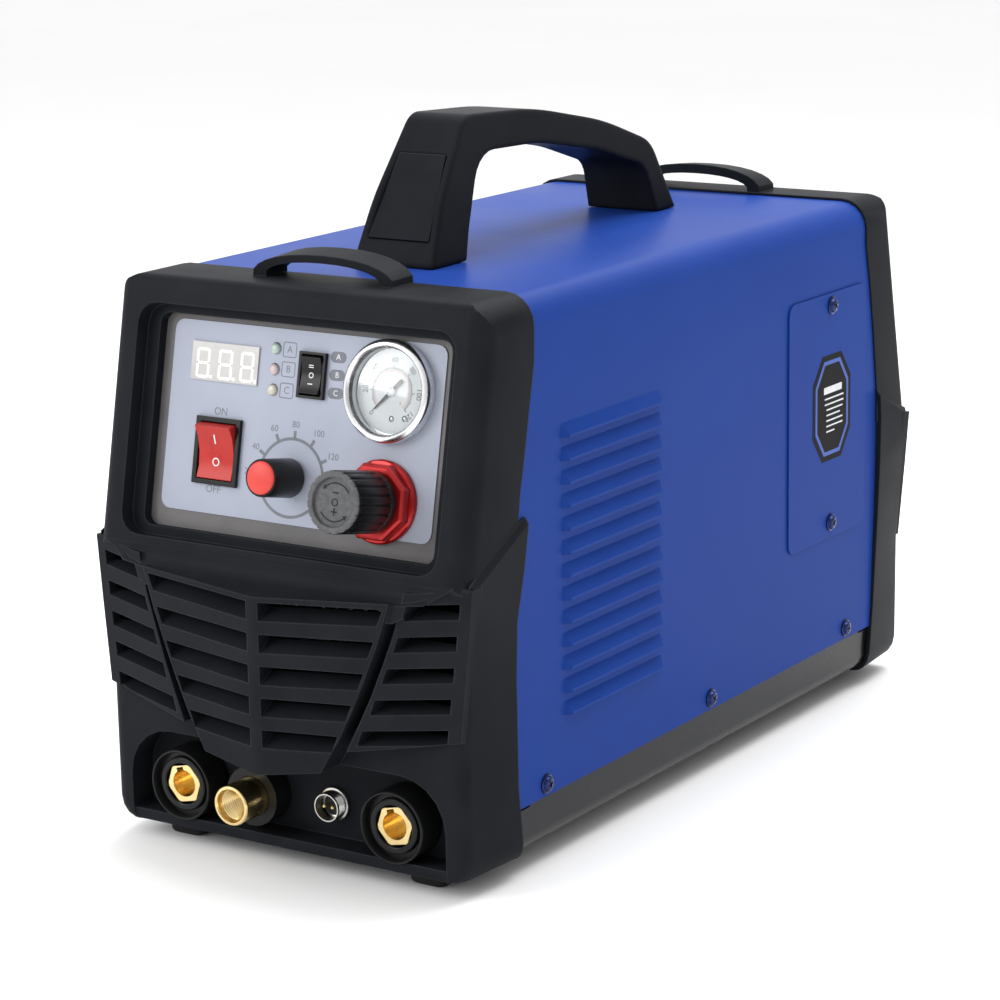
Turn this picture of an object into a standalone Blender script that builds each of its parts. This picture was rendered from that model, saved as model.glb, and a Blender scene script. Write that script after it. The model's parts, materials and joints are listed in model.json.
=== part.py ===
"""Portable inverter welding machine: blue sheet cover between two black moulded end covers.

All shapes are worked out in millimetres and turned into metres when each piece is made.
+X is the machine's right side seen from behind the panel, -Y its front, +Z up.
The origin is on the floor, in the middle of the footprint.
"""
import math

import bmesh
import bpy
from mathutils import Matrix, Vector

# ---------------------------------------------------------------- driving dimensions (mm)
# Heights are measured on a scale whose zero lies this far above the floor.
FLOOR_Z = -5.7
COVER_HALF_WIDTH = 101.65      # outside of the blue sheet
COVER_BOTTOM = 27.5
COVER_TOP = 259.0
COVER_CORNER = 14.0
SHEET = 1.2
COVER_HALF_LENGTH = 184.0      # the sheet runs into both end covers

PANEL_TILT = math.radians(11.58)
PANEL_FOOT_Y = -203.4          # lower edge of the panel face
PANEL_FOOT_Z = 153.5
PANEL_HALF = 81.0              # window in the end cover
PANEL_LOW = -8.3
PANEL_HIGH = 90.0
RIM_HALF = 88.0                # wider opening at the front of the bezel
RIM_LOW = -13.0
RIM_HIGH = 94.0
RIM_HEIGHT = 13.0
LEDGE_HEIGHT = 5.0

FRONT_FACE_Y = -216.7          # flat front of the end cover's lower part
SHIELD_RIDGE_Y = -236.0        # vertical ridge in the middle of the grille
SHIELD_RAKE = 0.131
WING_RIDGE_Y = -240.8          # where the outer grille's two planes would meet
WING_RAKE = 0.242
SLOT_ROWS = 5
SLOT_PITCH = 14.8
SLOT_RISE = 0.6                # share of the height that a slot's lower face rises
SHIELD_DEPTH = 9.0             # length of the blades between the middle slots
WING_DEPTH = 11.5
RECESS_HALF = 89.0
RECESS_FLOOR = 8.3
SILL_TOP_Y = -215.3            # front of the sill under the recess, behind the corner pillars
COVER_FOOT = 2.0               # underside of the end covers
PAN_BOTTOM = 4.2
PAN_FLOOR = 5.7
FOOT_X = 69.0
FOOT_Y = 194.5
RECESS_BACK_Y = -201.4
SOCKET_Z = 24.3
SOCKET_X = 59.9
GAS_X = -21.0
CONTROL_X = 18.5

LOUVRE_COUNT = 13
LOUVRE_PITCH = 10.82
LOUVRE_LOW_Z = 61.9
LOUVRE_START_Y = -137.4
LOUVRE_END_Y = -47.6
LOUVRE_OUT = 3.2
LOUVRE_RISE = 6.4

SIDE_SCREW_Z = 33.5
SIDE_SCREW_Y = (-152.7, 0.4, 147.2)
SERVICE_Y = (80.6, 166.0)
SERVICE_Z = (87.5, 217.5)
SERVICE_SCREW_Y = 127.1
SERVICE_SCREW_Z = (96.0, 211.0)

# panel items, as (across, up the panel)
DISPLAY = (-45.1, 69.4)
LEDS = (("status_led_green", 78.6), ("status_led_red", 69.1), ("status_led_yellow", 59.8))
LED_X = -17.1
MODE_SWITCH = (4.6, 68.2)
GAUGE = (47.8, 65.0)
POWER_SWITCH = (-44.9, 28.8)
CURRENT_KNOB = (-2.9, 21.1)
REGULATOR = (47.9, 16.0)
ROCKER_TILT = 11.0

FAN_Y = 150.0
FAN_Z = 150.0

# the end covers' edge against the blue sheet, as (height, distance along Y)
EDGE = {
    "front": [(6.5, 173.4), (19.5, 176.2), (33.5, 178.4), (63.5, 179.2), (89.5, 180.2), (116.5, 179.5),
              (133.5, 175.5), (142.5, 172.9), (158.5, 168.3), (170.0, 168.3)],
    "rear": [(6.5, 173.4), (28.5, 176.6), (63.5, 178.4), (85.5, 180.0), (116.5, 181.2), (134.5, 181.6),
             (151.5, 181.1), (170.0, 178.6)],
}
UPPER_EDGE = {
    "front": [(260.4, 158.7), (230.5, 159.6), (213.5, 163.4), (192.5, 168.0), (174.5, 172.4),
              (158.0, 175.0)],
    "rear": [(260.4, 166.4), (236.5, 166.6), (217.5, 171.1), (189.5, 176.0), (170.5, 178.6),
             (158.0, 180.5)],
}
BARB_TIP = 38.8
STRAP_FRONT = {"front": 175.2, "rear": 182.9}
STRAP_DEPTH = 16.2
ARCH_FULLNESS = 2.0 / 2.2


# ---------------------------------------------------------------- materials
def material(name, colour, roughness, metallic):
    """A plain Principled material."""
    made = bpy.data.materials.get(name)
    if made:
        return made
    made = bpy.data.materials.new(name)
    made.use_nodes = True
    shader = made.node_tree.nodes["Principled BSDF"]
    shader.inputs["Base Color"].default_value = (*colour, 1.0)
    shader.inputs["Roughness"].default_value = roughness
    shader.inputs["Metallic"].default_value = metallic
    return made


COLOURS = {
    "blue_powder": ((0.035, 0.075, 0.30), 0.42, 0.0),
    "black_plastic": ((0.024, 0.026, 0.030), 0.5, 0.0),
    "black_metal": ((0.012, 0.012, 0.014), 0.35, 0.0),
    "rubber": ((0.018, 0.018, 0.020), 0.7, 0.0),
    "grey_panel": ((0.14, 0.135, 0.14), 0.55, 0.0),
    "panel_film": ((0.45, 0.50, 0.62), 0.5, 0.0),
    "display_grey": ((0.55, 0.52, 0.50), 0.3, 0.0),
    "red_rocker": ((0.52, 0.035, 0.025), 0.35, 0.0),
    "red_anodised": ((0.50, 0.02, 0.02), 0.25, 0.8),
    "red_cap": ((0.72, 0.11, 0.09), 0.35, 0.0),
    "chrome": ((0.75, 0.76, 0.78), 0.12, 1.0),
    "steel": ((0.45, 0.46, 0.48), 0.3, 1.0),
    "brass": ((0.62, 0.42, 0.16), 0.25, 1.0),
    "white_dial": ((0.80, 0.80, 0.80), 0.4, 0.0),
    "glass": ((0.9, 0.93, 0.95), 0.05, 0.0),
    "blued_screw": ((0.02, 0.03, 0.09), 0.25, 0.9),
    "led_green": ((0.35, 0.45, 0.33), 0.3, 0.0),
    "led_red": ((0.42, 0.28, 0.26), 0.3, 0.0),
    "led_yellow": ((0.48, 0.44, 0.28), 0.3, 0.0),
    "circuit_board": ((0.02, 0.11, 0.05), 0.5, 0.0),
    "aluminium": ((0.55, 0.56, 0.57), 0.4, 1.0),
    "ferrite": ((0.05, 0.05, 0.055), 0.6, 0.0),
    "copper": ((0.42, 0.18, 0.08), 0.4, 0.8),
    "capacitor_sleeve": ((0.03, 0.04, 0.07), 0.4, 0.0),
}


# ---------------------------------------------------------------- solids in millimetres
def solid(bm):
    """A temporary object from a bmesh, with its faces pointing out."""
    bmesh.ops.remove_doubles(bm, verts=bm.verts, dist=1e-5)
    bmesh.ops.recalc_face_normals(bm, faces=bm.faces)
    mesh = bpy.data.meshes.new("shape")
    bm.to_mesh(mesh)
    bm.free()
    shape = bpy.data.objects.new("shape", mesh)
    bpy.context.collection.objects.link(shape)
    return shape


def loft(sections):
    """Closed solid through a row of polygons that have the same number of points."""
    bm = bmesh.new()
    rings = [[bm.verts.new(point) for point in section] for section in sections]
    count = len(rings[0])
    for low, high in zip(rings, rings[1:]):
        for i in range(count):
            j = (i + 1) % count
            bm.faces.new((low[i], low[j], high[j], high[i]))
    bm.faces.new(rings[0][::-1])
    bm.faces.new(rings[-1])
    return solid(bm)


def along_x(points, low, high):
    """Prism with a (y, z) outline."""
    return loft([[(x, y, z) for y, z in points] for x in (low, high)])


def along_y(points, low, high):
    """Prism with an (x, z) outline."""
    return loft([[(x, y, z) for x, z in points] for y in (low, high)])


def along_z(points, low, high):
    """Prism with an (x, y) outline."""
    return loft([[(x, y, z) for x, y in points] for z in (low, high)])


def box(x, y, z):
    """Box from three (low, high) pairs."""
    return along_z([(x[0], y[0]), (x[1], y[0]), (x[1], y[1]), (x[0], y[1])], z[0], z[1])


def circle(radius, count, phase=0.0):
    """Points on a circle."""
    turns = [phase + 2 * math.pi * i / count for i in range(count)]
    return [(radius * math.cos(a), radius * math.sin(a)) for a in turns]


def rounded(points, radii, steps=4):
    """Polygon with its corners rounded, one radius per corner."""
    out = []
    count = len(points)
    for i, corner in enumerate(points):
        radius = radii[i] if isinstance(radii, (list, tuple)) else radii
        here = Vector(corner)
        if radius <= 0:
            out.append(tuple(here))
            continue
        back = (Vector(points[i - 1]) - here).normalized()
        on = (Vector(points[(i + 1) % count]) - here).normalized()
        half = back.angle(on) / 2
        middle = here + (back + on).normalized() * radius / math.sin(half)
        start = here + back * radius / math.tan(half) - middle
        end = here + on * radius / math.tan(half) - middle
        sweep = start.angle_signed(end)
        for k in range(steps + 1):
            turn = -sweep * k / steps
            out.append((middle.x + start.x * math.cos(turn) - start.y * math.sin(turn),
                        middle.y + start.x * math.sin(turn) + start.y * math.cos(turn)))
    return out


def rounded_box(half_x, half_y, radius, steps=4, centre=(0.0, 0.0)):
    """Rounded rectangle outline."""
    cx, cy = centre
    corners = [(cx - half_x, cy - half_y), (cx + half_x, cy - half_y),
               (cx + half_x, cy + half_y), (cx - half_x, cy + half_y)]
    return rounded(corners, radius, steps)


def lathe(profile, count=32):
    """Turned solid about +Z from a closed (radius, height) outline."""
    bm = bmesh.new()
    rings = []
    for radius, height in profile:
        if radius < 1e-6:
            rings.append([bm.verts.new((0, 0, height))] * count)
        else:
            ring = [bm.verts.new((x, y, height)) for x, y in circle(radius, count)]
            rings.append(ring)
    pairs = list(zip(rings, rings[1:] + rings[:1]))
    for low, high in pairs:
        for i in range(count):
            j = (i + 1) % count
            corners = []
            for vert in (low[i], low[j], high[j], high[i]):
                if vert not in corners:
                    corners.append(vert)
            if len(corners) > 2:
                bm.faces.new(corners)
    return solid(bm)


def placed(shape, matrix):
    """The same shape moved by a matrix."""
    shape.data.transform(matrix)
    if matrix.determinant() < 0:
        shape.data.flip_normals()
    return shape


def boolean(base, tools, operation):
    """Join or cut a shape with others, which are used up."""
    for tool in tools:
        step = base.modifiers.new("step", "BOOLEAN")
        step.operation = operation
        step.solver = "EXACT"
        step.object = tool
        graph = bpy.context.evaluated_depsgraph_get()
        mesh = bpy.data.meshes.new_from_object(base.evaluated_get(graph))
        base.modifiers.clear()
        base.data = mesh
        bpy.data.objects.remove(tool)
    return base


def join(base, *tools):
    return boolean(base, tools, "UNION")


def cut(base, *tools):
    return boolean(base, tools, "DIFFERENCE")


def common(base, *tools):
    return boolean(base, tools, "INTERSECT")


def finish(name, shape, colour, origin=(0.0, 0.0, 0.0)):
    """Turn a shape into the named piece, in metres, with its origin where asked."""
    bm = bmesh.new()
    bm.from_mesh(shape.data)
    bmesh.ops.remove_doubles(bm, verts=bm.verts, dist=0.002)
    bmesh.ops.dissolve_degenerate(bm, edges=bm.edges, dist=0.002)
    bmesh.ops.triangulate(bm, faces=[f for f in bm.faces if len(f.verts) > 4])
    bmesh.ops.recalc_face_normals(bm, faces=bm.faces)
    lift = Vector((0.0, 0.0, -FLOOR_Z))
    start = Vector(origin) + lift if any(origin) else Vector(origin)
    for vert in bm.verts:
        vert.co = (vert.co + lift - start) * 0.001
    mesh = bpy.data.meshes.new(name)
    bm.to_mesh(mesh)
    bm.free()
    bpy.data.objects.remove(shape)
    piece = bpy.data.objects.new(name, mesh)
    piece.location = start * 0.001
    values = COLOURS[colour]
    mesh.materials.append(material(colour + "_" + name, *values))
    mesh.shade_smooth()
    mesh.set_sharp_from_angle(angle=math.radians(35))
    bpy.context.collection.objects.link(piece)
    return piece


# ---------------------------------------------------------------- frames of reference
SIN = math.sin(PANEL_TILT)
COS = math.cos(PANEL_TILT)
PANEL = Matrix((
    (1, 0, 0, 0),
    (0, SIN, -COS, PANEL_FOOT_Y),
    (0, COS, SIN, PANEL_FOOT_Z),
    (0, 0, 0, 1),
))
TO_FRONT = Matrix.Rotation(math.radians(90), 4, "X")      # +Z turned to -Y
TO_REAR = Matrix.Rotation(math.radians(-90), 4, "X")      # +Z turned to +Y
TO_RIGHT = Matrix.Rotation(math.radians(90), 4, "Y")      # +Z turned to +X
TO_LEFT = Matrix.Rotation(math.radians(-90), 4, "Y")      # +Z turned to -X
MIRROR_Y = Matrix.Diagonal((1, -1, 1, 1))


def on_panel(shape, spot, lift=0.0):
    """Stand a shape on the panel: its +Z becomes the panel's outward normal."""
    return placed(shape, PANEL @ Matrix.Translation((spot[0], spot[1], lift)))


def panel_point(across, up, out):
    return tuple(PANEL @ Vector((across, up, out)))


def panel_side(up, out):
    """(y, z) of a point in the panel's own side view."""
    point = PANEL @ Vector((0, up, out))
    return (point.y, point.z)


def facing_front(shape, x, y, z):
    return placed(shape, Matrix.Translation((x, y, z)) @ TO_FRONT)


# ---------------------------------------------------------------- end covers
def upper_body(end):
    """Bezel half of an end cover: tilted face, round top corners, open towards the machine."""
    edge = [(-y, z) for z, y in UPPER_EDGE[end]]
    last = edge[-1][0]
    side = rounded(edge + [(last, 140.0), (-212.0, 132.0), panel_side(-17.0, RIM_HEIGHT),
                           panel_side(106.5, RIM_HEIGHT)],
                   [0] * len(edge) + [0, 0, 2.5, 7.0])
    body = along_x(side, -102.9, 102.9)
    front = rounded([(-102.8, 100), (102.8, 100), (102.8, 260.4), (-102.8, 260.4)],
                    [0, 0, 14.5, 14.5], 5)
    plan = rounded([(-102.8, 80.0), (-102.8, 0.0), (102.8, 0.0), (102.8, 80.0)],
                   [0, 10.0, 10.0, 0], 5)
    low = panel_side(-60.0, RIM_HEIGHT)
    high = panel_side(160.0, RIM_HEIGHT)
    sleeve = loft([[(x, y + place[0], place[1]) for x, y in plan] for place in (low, high)])
    return common(body, along_y(front, -260, -120), sleeve)


def edge_at(end, z):
    """y of the end cover's edge against the blue sheet, at a height."""
    marks = EDGE[end]
    for (z0, y0), (z1, y1) in zip(marks, marks[1:]):
        if z <= z1:
            return -(y0 + (y1 - y0) * (z - z0) / (z1 - z0))
    return -marks[-1][1]


def lower_body(end):
    """Lower half of an end cover: sides widen upwards to the flare."""
    sections = []
    for z, inset in ((COVER_FOOT, 8.6), (2.9, 5.4), (4.6, 2.9), (8.0, 0.9), (13.0, 0.0), (40.0, 0.0),
                     (69.5, 0.0), (90.0, 0.0), (116.5, 0.0), (141.5, 0.0), (166.0, 0.0)):
        front_half = 99.3 + 5.9 * min(1.0, max(0.0, (z - 69.5) / 72.0)) - inset
        rear_half = 102.8 + 2.3 * min(1.0, max(0.0, (z - 6.5) / 135.0)) - inset
        edge = edge_at(end, z)
        corners = [(-rear_half, edge), (-front_half, FRONT_FACE_Y + inset * 0.3),
                   (front_half, FRONT_FACE_Y + inset * 0.3), (rear_half, edge)]
        plan = rounded(corners, [0, 7.0, 7.0, 0], 4)
        sections.append([(x, y, z) for x, y in plan])
    body = loft(sections)
    for side in (-1, 1):
        near = [(-120.0, 188.0), (-163.0, 165.2), (-209.5, 143.6), (-240.0, 131.0), (-240.0, 188.0)]
        far = [(-120.0, 184.0), (-163.0, 162.0), (-209.4, 139.4), (-240.0, 125.5), (-240.0, 184.0)]
        body = cut(body, loft([[(side * x, y, z) for y, z in line]
                               for x, line in ((102.75, near), (105.6, far), (109.0, far))]))
    return cut(body, along_x([(-250, 139.5), (-209.0, 139.5), (-180, 158), (-150, 170), (-150, 190),
                              (-250, 190)], -102.8, 102.8))


def shield_outline():
    right = [(68.8, 131.4), (62.2, 111.7), (55.4, 94.7), (49.2, 80.5), (41.9, 65.5), (37.4, 58.0),
             (32.6, 49.6)]
    return [(0.0, 127.8)] + right + [(0.0, 44.5)] + [(-x, z) for x, z in right[::-1]]


def raked_wedge(ridge_y, rake, back_y):
    """Plan outline of a face that falls back from a middle ridge."""
    far = 108.0
    return [(0.0, ridge_y), (far, ridge_y + rake * far), (far, back_y), (-far, back_y),
            (-far, ridge_y + rake * far)]


def shield():
    """Middle of the grille, a shallow vertical prow."""
    body = along_y(shield_outline(), -245, -206)
    return common(body, along_z(raked_wedge(SHIELD_RIDGE_Y, SHIELD_RAKE, -208.0), 30, 150))


def wing(side):
    """Outer part of the grille, set back from the middle by a slanted groove."""
    points = [(73.8, 136.0), (90.5, 137.4), (105.2, 139.4), (102.6, 110.0), (98.6, 69.7),
              (70.0, 64.9), (45.5, 61.0), (52.2, 75.0), (58.0, 88.1), (63.6, 102.6), (69.3, 118.1)]
    body = along_y([(side * x, z) for x, z in points], -245, -206)
    return common(body, along_z(raked_wedge(WING_RIDGE_Y, WING_RAKE, -208.0), 30, 150))


def cove():
    """Hollow curve between the bezel and the grille."""
    side = [(-209.3, 141.0), (-219.0, 140.0), (-219.6, 136.0), (-221.2, 133.0), (-224.0, 130.6),
            (-228.5, 128.8), (-236.0, 127.6), (-236.0, 122.0), (-209.3, 122.0)]
    body = along_x(side, -100, 100)
    body = common(body, along_z(raked_wedge(-235.4, 0.150, -205.0), 100, 150))
    return common(body, along_y([(-66.0, 120.0), (66.0, 120.0), (97.0, 139.8), (97.0, 142.0),
                                 (-97.0, 142.0), (-97.0, 139.8)], -245, -206))


def arch(half, rise, foot, bottom):
    """Outline of a full, flat-topped arch, carried down to a lower level at both ends."""
    curve = []
    for k in range(15):
        turn = math.pi * k / 14
        across, up = math.cos(turn), math.sin(turn)
        curve.append((half * math.copysign(abs(across) ** ARCH_FULLNESS, across),
                      foot + rise * max(0.0, up) ** ARCH_FULLNESS))
    return [(half, bottom)] + curve[1:-1] + [(-half, bottom)]


def strap(end):
    """Small grip moulded over the top edge; its top rises a little towards the machine's middle."""
    start = -STRAP_FRONT[end]
    stop = start + STRAP_DEPTH
    grip = loft([[(x, y, z) for x, z in arch(39.4, rise, 260.6, 256.0)]
                 for y, rise in ((start, 11.6), (stop, 13.0))])
    return cut(grip, along_y(arch(32.0, 7.6, 261.0, 250.0), start - 10.0, stop + 10.0))


def slot(corners, ridge_y, rake, depth):
    """Air slot through the grille with a level top and a lower face that rises towards the inside.

    Its corners on the face are the lower two, then the upper two. The lower face rises along the
    slot's slanted ends, to SLOT_RISE of its height at the back.
    """
    low, high = corners[:2], corners[:1:-1]
    rows = []
    for into in (-3.0, depth + 0.6):
        share = SLOT_RISE * into / depth
        raised = [(x0 + (x1 - x0) * share, z0 + (z1 - z0) * share) for (x0, z0), (x1, z1) in zip(low, high)]
        rows.append([(x, ridge_y + rake * abs(x) + into, z) for x, z in raised + corners[2:]])
    return loft(rows)


def grille_slots(end):
    """Five slots in each quarter of the front grille; the rear one has only the middle slots."""
    slots = []
    for row in range(SLOT_ROWS):
        low = 116.8 - SLOT_PITCH * row
        reach = 62.3 - (0.0, 4.9, 10.3, 16.7, 24.0)[row]
        inner = [(3.2, low), (reach, low + 0.065 * reach - 0.3),
                 (reach + 3.3, low + 0.065 * reach + 7.6), (3.2, low + 8.6)]
        start = (73.2, 68.2, 62.7, 56.9, 50.6)[row]
        outer_low = 123.4 - SLOT_PITCH * row
        far = 98.6 - 1.6 * row
        outer = [(start, outer_low), (far, outer_low + 0.10 * (far - start)),
                 (far + 0.7, outer_low + 0.10 * (far - start) + 7.0), (start + 2.5, outer_low + 7.2)]
        for side in (1, -1):
            slots.append(slot([(side * x, z) for x, z in inner], SHIELD_RIDGE_Y, SHIELD_RAKE,
                              SHIELD_DEPTH))
            if end == "front":
                slots.append(slot([(side * x, z) for x, z in outer], WING_RIDGE_Y, WING_RAKE,
                                  WING_DEPTH))
    return slots


def sheet_seat():
    """Groove that the blue sheet slides into, and room for the base pan."""
    outline = sheet_outline(-0.3) + sheet_outline(SHEET + 0.3)[::-1]
    groove = cut(along_y(outline, -COVER_HALF_LENGTH - 0.4, -120.0), sheet_trim(0.4))
    bottom = PAN_BOTTOM - 0.3
    pan = rounded([(-100.7, 27.6), (-100.7, bottom), (100.7, bottom), (100.7, 27.6)], [0, 8.3, 8.3, 0])
    return groove, along_y(pan, -COVER_HALF_LENGTH - 0.4, -120.0)


def end_cover(end):
    """Moulded end cover with its panel window, grille, connector recess and small grip."""
    body = join(upper_body(end), lower_body(end))
    opening = rounded([(-RECESS_HALF, -1.0), (RECESS_HALF, -1.0), (RECESS_HALF, 49.5),
                       (-RECESS_HALF, 49.5)], [0, 0, 24.0, 24.0], 5)
    depth = [(-250.0, -1.0), (SILL_TOP_Y, -1.0), (SILL_TOP_Y, RECESS_FLOOR), (RECESS_BACK_Y, RECESS_FLOOR),
             (RECESS_BACK_Y, 60.0), (-250.0, 60.0)]
    body = cut(body, common(along_y(opening, -255, -190), along_x(depth, -100, 100)),
               box((-88.0, 88.0), (-230.0, -204.0), (-1.0, 3.2)))
    body = join(body, shield(), wing(1), wing(-1), cove(), strap(end))
    # inside: open towards the machine, stepped behind the recess
    inner_side = [(-140.0, 256.5), panel_side(105.14, 0.0), panel_side(-12.0, 0.0), (-212.0, 136.0),
                  (-212.0, 56.0), (-198.4, 53.0), (-198.4, 6.5), (-140.0, 6.5)]
    inner_front = rounded([(-98.6, 6.5), (98.6, 6.5), (98.6, 256.5), (-98.6, 256.5)],
                          [6.0, 6.0, 11.0, 11.0], 3)
    hollow = common(along_x(inner_side, -98.6, 98.6), along_y(inner_front, -260, -130))
    body = cut(body, hollow, *sheet_seat())
    right = [(64.6, 128.8), (58.2, 111.7), (51.4, 94.7), (45.2, 80.5), (38.0, 65.5), (33.5, 57.2)]
    pocket = common(along_y([(0.0, 125.8)] + right + [(0.0, 56.5)] + [(-x, z) for x, z in right[::-1]],
                            -245, -208),
                    along_z(raked_wedge(SHIELD_RIDGE_Y + SHIELD_DEPTH, SHIELD_RAKE, -204.0), 30, 150))
    window = rounded([(-PANEL_HALF, PANEL_LOW), (PANEL_HALF, PANEL_LOW), (PANEL_HALF, PANEL_HIGH),
                      (-PANEL_HALF, PANEL_HIGH)], 5.0)
    rim = rounded([(-RIM_HALF, RIM_LOW), (RIM_HALF, RIM_LOW), (RIM_HALF, RIM_HIGH),
                   (-RIM_HALF, RIM_HIGH)], 10.0)
    body = cut(body, pocket, placed(along_z(window, -30.0, 30.0), PANEL),
               placed(along_z(rim, LEDGE_HEIGHT, 30.0), PANEL))
    return cut(body, *grille_slots(end))


def front_cover():
    body = end_cover("front")
    rings = [facing_front(lathe([(0, 0), (17.4, 0), (17.4, 40), (0, 40)], 24), x, RECESS_BACK_Y, SOCKET_Z)
             for x in (SOCKET_X, -SOCKET_X)]
    holes = [facing_front(lathe([(0, -8), (r, -8), (r, 8), (0, 8)], 20), x, -200.0, SOCKET_Z)
             for x, r in ((SOCKET_X, 13.6), (-SOCKET_X, 13.6), (GAS_X, 9.8), (CONTROL_X, 6.3))]
    finish("front_cover", cut(body, *rings, *holes), "black_plastic")


def rear_cover():
    body = end_cover("rear")
    holes = [facing_front(lathe([(0, -8), (r, -8), (r, 8), (0, 8)], 20), x, -200.0, SOCKET_Z)
             for x, r in ((45.0, 10.3), (-45.0, 6.8))]
    body = placed(cut(body, *holes), MIRROR_Y)
    finish("rear_cover", body, "black_plastic")
    plate = along_z(rounded_box(84.5, 52.0, 3.0, 3, (0.0, 40.9)), -2.3, -0.3)
    vents = []
    for radius in (18.0, 33.0):
        for k in range(4):
            start = math.radians(90 * k + 8)
            turns = [start + math.radians(74) * i / 4 for i in range(5)]
            arc = [(radius + 6.0, a) for a in turns] + [(radius - 5.0, a) for a in turns[::-1]]
            vents.append(along_z([(r * math.cos(a), 40.9 + r * math.sin(a)) for r, a in arc], -5, 5))
    plate = placed(cut(plate, *vents), MIRROR_Y @ PANEL)
    finish("rear_panel", plate, "black_metal")


# ---------------------------------------------------------------- sheet metal
def sheet_outline(offset):
    """Upside-down U of the cover, offset inwards from its outside."""
    half = COVER_HALF_WIDTH - offset
    top = COVER_TOP - offset
    radius = COVER_CORNER - offset
    return rounded([(half, COVER_BOTTOM), (half, top), (-half, top), (-half, COVER_BOTTOM)],
                   [0, radius, radius, 0], 5)


def sheet_trim(grow):
    """Cuts the sheet's top back at the front end, where the end cover leans back."""
    return along_x([(-220.0, 172.0), (-184.5 - grow, 172.0), (-172.0 - grow, 264.0), (-220.0, 264.0)],
                   -120, 120)


def louvre(side, low_z):
    """Pressed hood and the opening under it, as a solid to add and one to cut."""
    face = COVER_HALF_WIDTH
    top = low_z + LOUVRE_RISE
    y0, y1 = LOUVRE_START_Y, LOUVRE_END_Y
    hood = loft([[(side * (face - 0.6), y0, low_z), (side * (face - 0.6), y1, low_z),
                  (side * (face - 0.6), y1 - 1.0, top), (side * (face - 0.6), y0 + 1.0, top)],
                 [(side * face, y0, low_z), (side * face, y1, low_z),
                  (side * face, y1 - 1.0, top), (side * face, y0 + 1.0, top)],
                 [(side * (face + LOUVRE_OUT), y0 + 3.2, low_z), (side * (face + LOUVRE_OUT), y1 - 3.2, low_z),
                  (side * (face + LOUVRE_OUT), y1 - 4.0, low_z + 1.2),
                  (side * (face + LOUVRE_OUT), y0 + 4.0, low_z + 1.2)]])
    inner = loft([[(side * (face - 3), y, low_z - 0.3), (side * (face + 2.1), y, low_z - 0.3),
                   (side * (face + 1.1), y, low_z + 2.6), (side * (face - 0.4), y, low_z + 3.6),
                   (side * (face - 3), y, low_z + 3.6)] for y in (y0 + 3.6, y1 - 3.6)])
    return hood, inner


def top_cover():
    outline = sheet_outline(0.0) + sheet_outline(SHEET)[::-1]
    body = along_y(outline, -COVER_HALF_LENGTH, COVER_HALF_LENGTH)
    hoods = []
    slits = []
    for side in (1, -1):
        for row in range(LOUVRE_COUNT):
            hood, slit = louvre(side, LOUVRE_LOW_Z + LOUVRE_PITCH * row)
            hoods.append(hood)
            slits.append(slit)
    body = cut(join(body, *hoods), *slits, sheet_trim(0.0), placed(sheet_trim(0.0), MIRROR_Y))
    holes = []
    for side in (1, -1):
        turn = TO_RIGHT if side > 0 else TO_LEFT
        for y in SIDE_SCREW_Y:
            hole = lathe([(0, -5), (2.3, -5), (2.3, 5), (0, 5)], 12)
            holes.append(placed(hole, Matrix.Translation((side * 101, y, SIDE_SCREW_Z)) @ turn))
    for z in SERVICE_SCREW_Z:
        hole = lathe([(0, -5), (2.3, -5), (2.3, 5), (0, 5)], 12)
        holes.append(placed(hole, Matrix.Translation((101, SERVICE_SCREW_Y, z)) @ TO_RIGHT))
    finish("top_cover", cut(body, *holes), "blue_powder")


def base_pan():
    """Folded tray under the machine; its sides are screwed behind the blue sheet."""
    outer = rounded([(-100.4, 27.0), (-100.4, PAN_BOTTOM), (100.4, PAN_BOTTOM), (100.4, 27.0)],
                    [0, 8.0, 8.0, 0], 4)
    right = [(100.1, 27.0), (100.1, 42.0), (98.9, 42.0), (98.9, 25.8)]
    floor = rounded([(98.9, 25.8), (98.9, PAN_FLOOR), (-98.9, PAN_FLOOR), (-98.9, 25.8)],
                    [0, 6.5, 6.5, 0], 4)
    left = [(-x, z) for x, z in right[::-1]]
    body = along_y(outer + right[:3] + floor + left[1:], -COVER_HALF_LENGTH, COVER_HALF_LENGTH)
    for low, high in ((-190, -165), (165, 190)):
        body = cut(body, box((-110, 110), (low, high), (25.9, 50)))
    holes = []
    for side in (1, -1):
        turn = TO_RIGHT if side > 0 else TO_LEFT
        for y in SIDE_SCREW_Y:
            hole = lathe([(0, -4), (2.1, -4), (2.1, 4), (0, 4)], 10)
            holes.append(placed(hole, Matrix.Translation((side * 99.5, y, SIDE_SCREW_Z)) @ turn))
    finish("base_pan", cut(body, *holes), "black_metal")


def screw(name, side, y, z, seat):
    """Flange-head screw, head outwards."""
    head = lathe([(0, -6.0), (1.8, -6.0), (1.8, 0.15), (4.7, 0.15), (4.7, 0.8), (3.5, 1.1),
                  (3.1, 2.2), (0, 2.6)], 10)
    turn = TO_RIGHT if side > 0 else TO_LEFT
    finish(name, placed(head, Matrix.Translation((side * seat, y, z)) @ turn), "blued_screw",
           (side * seat, y, z))


def screws():
    for side, word in ((1, "right"), (-1, "left")):
        for place, y in zip(("front", "middle", "rear"), SIDE_SCREW_Y):
            screw("side_screw_%s_%s" % (word, place), side, y, SIDE_SCREW_Z, COVER_HALF_WIDTH)
    for place, z in zip(("lower", "upper"), SERVICE_SCREW_Z):
        screw("service_screw_" + place, 1, SERVICE_SCREW_Y, z, COVER_HALF_WIDTH + 0.95)


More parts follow.
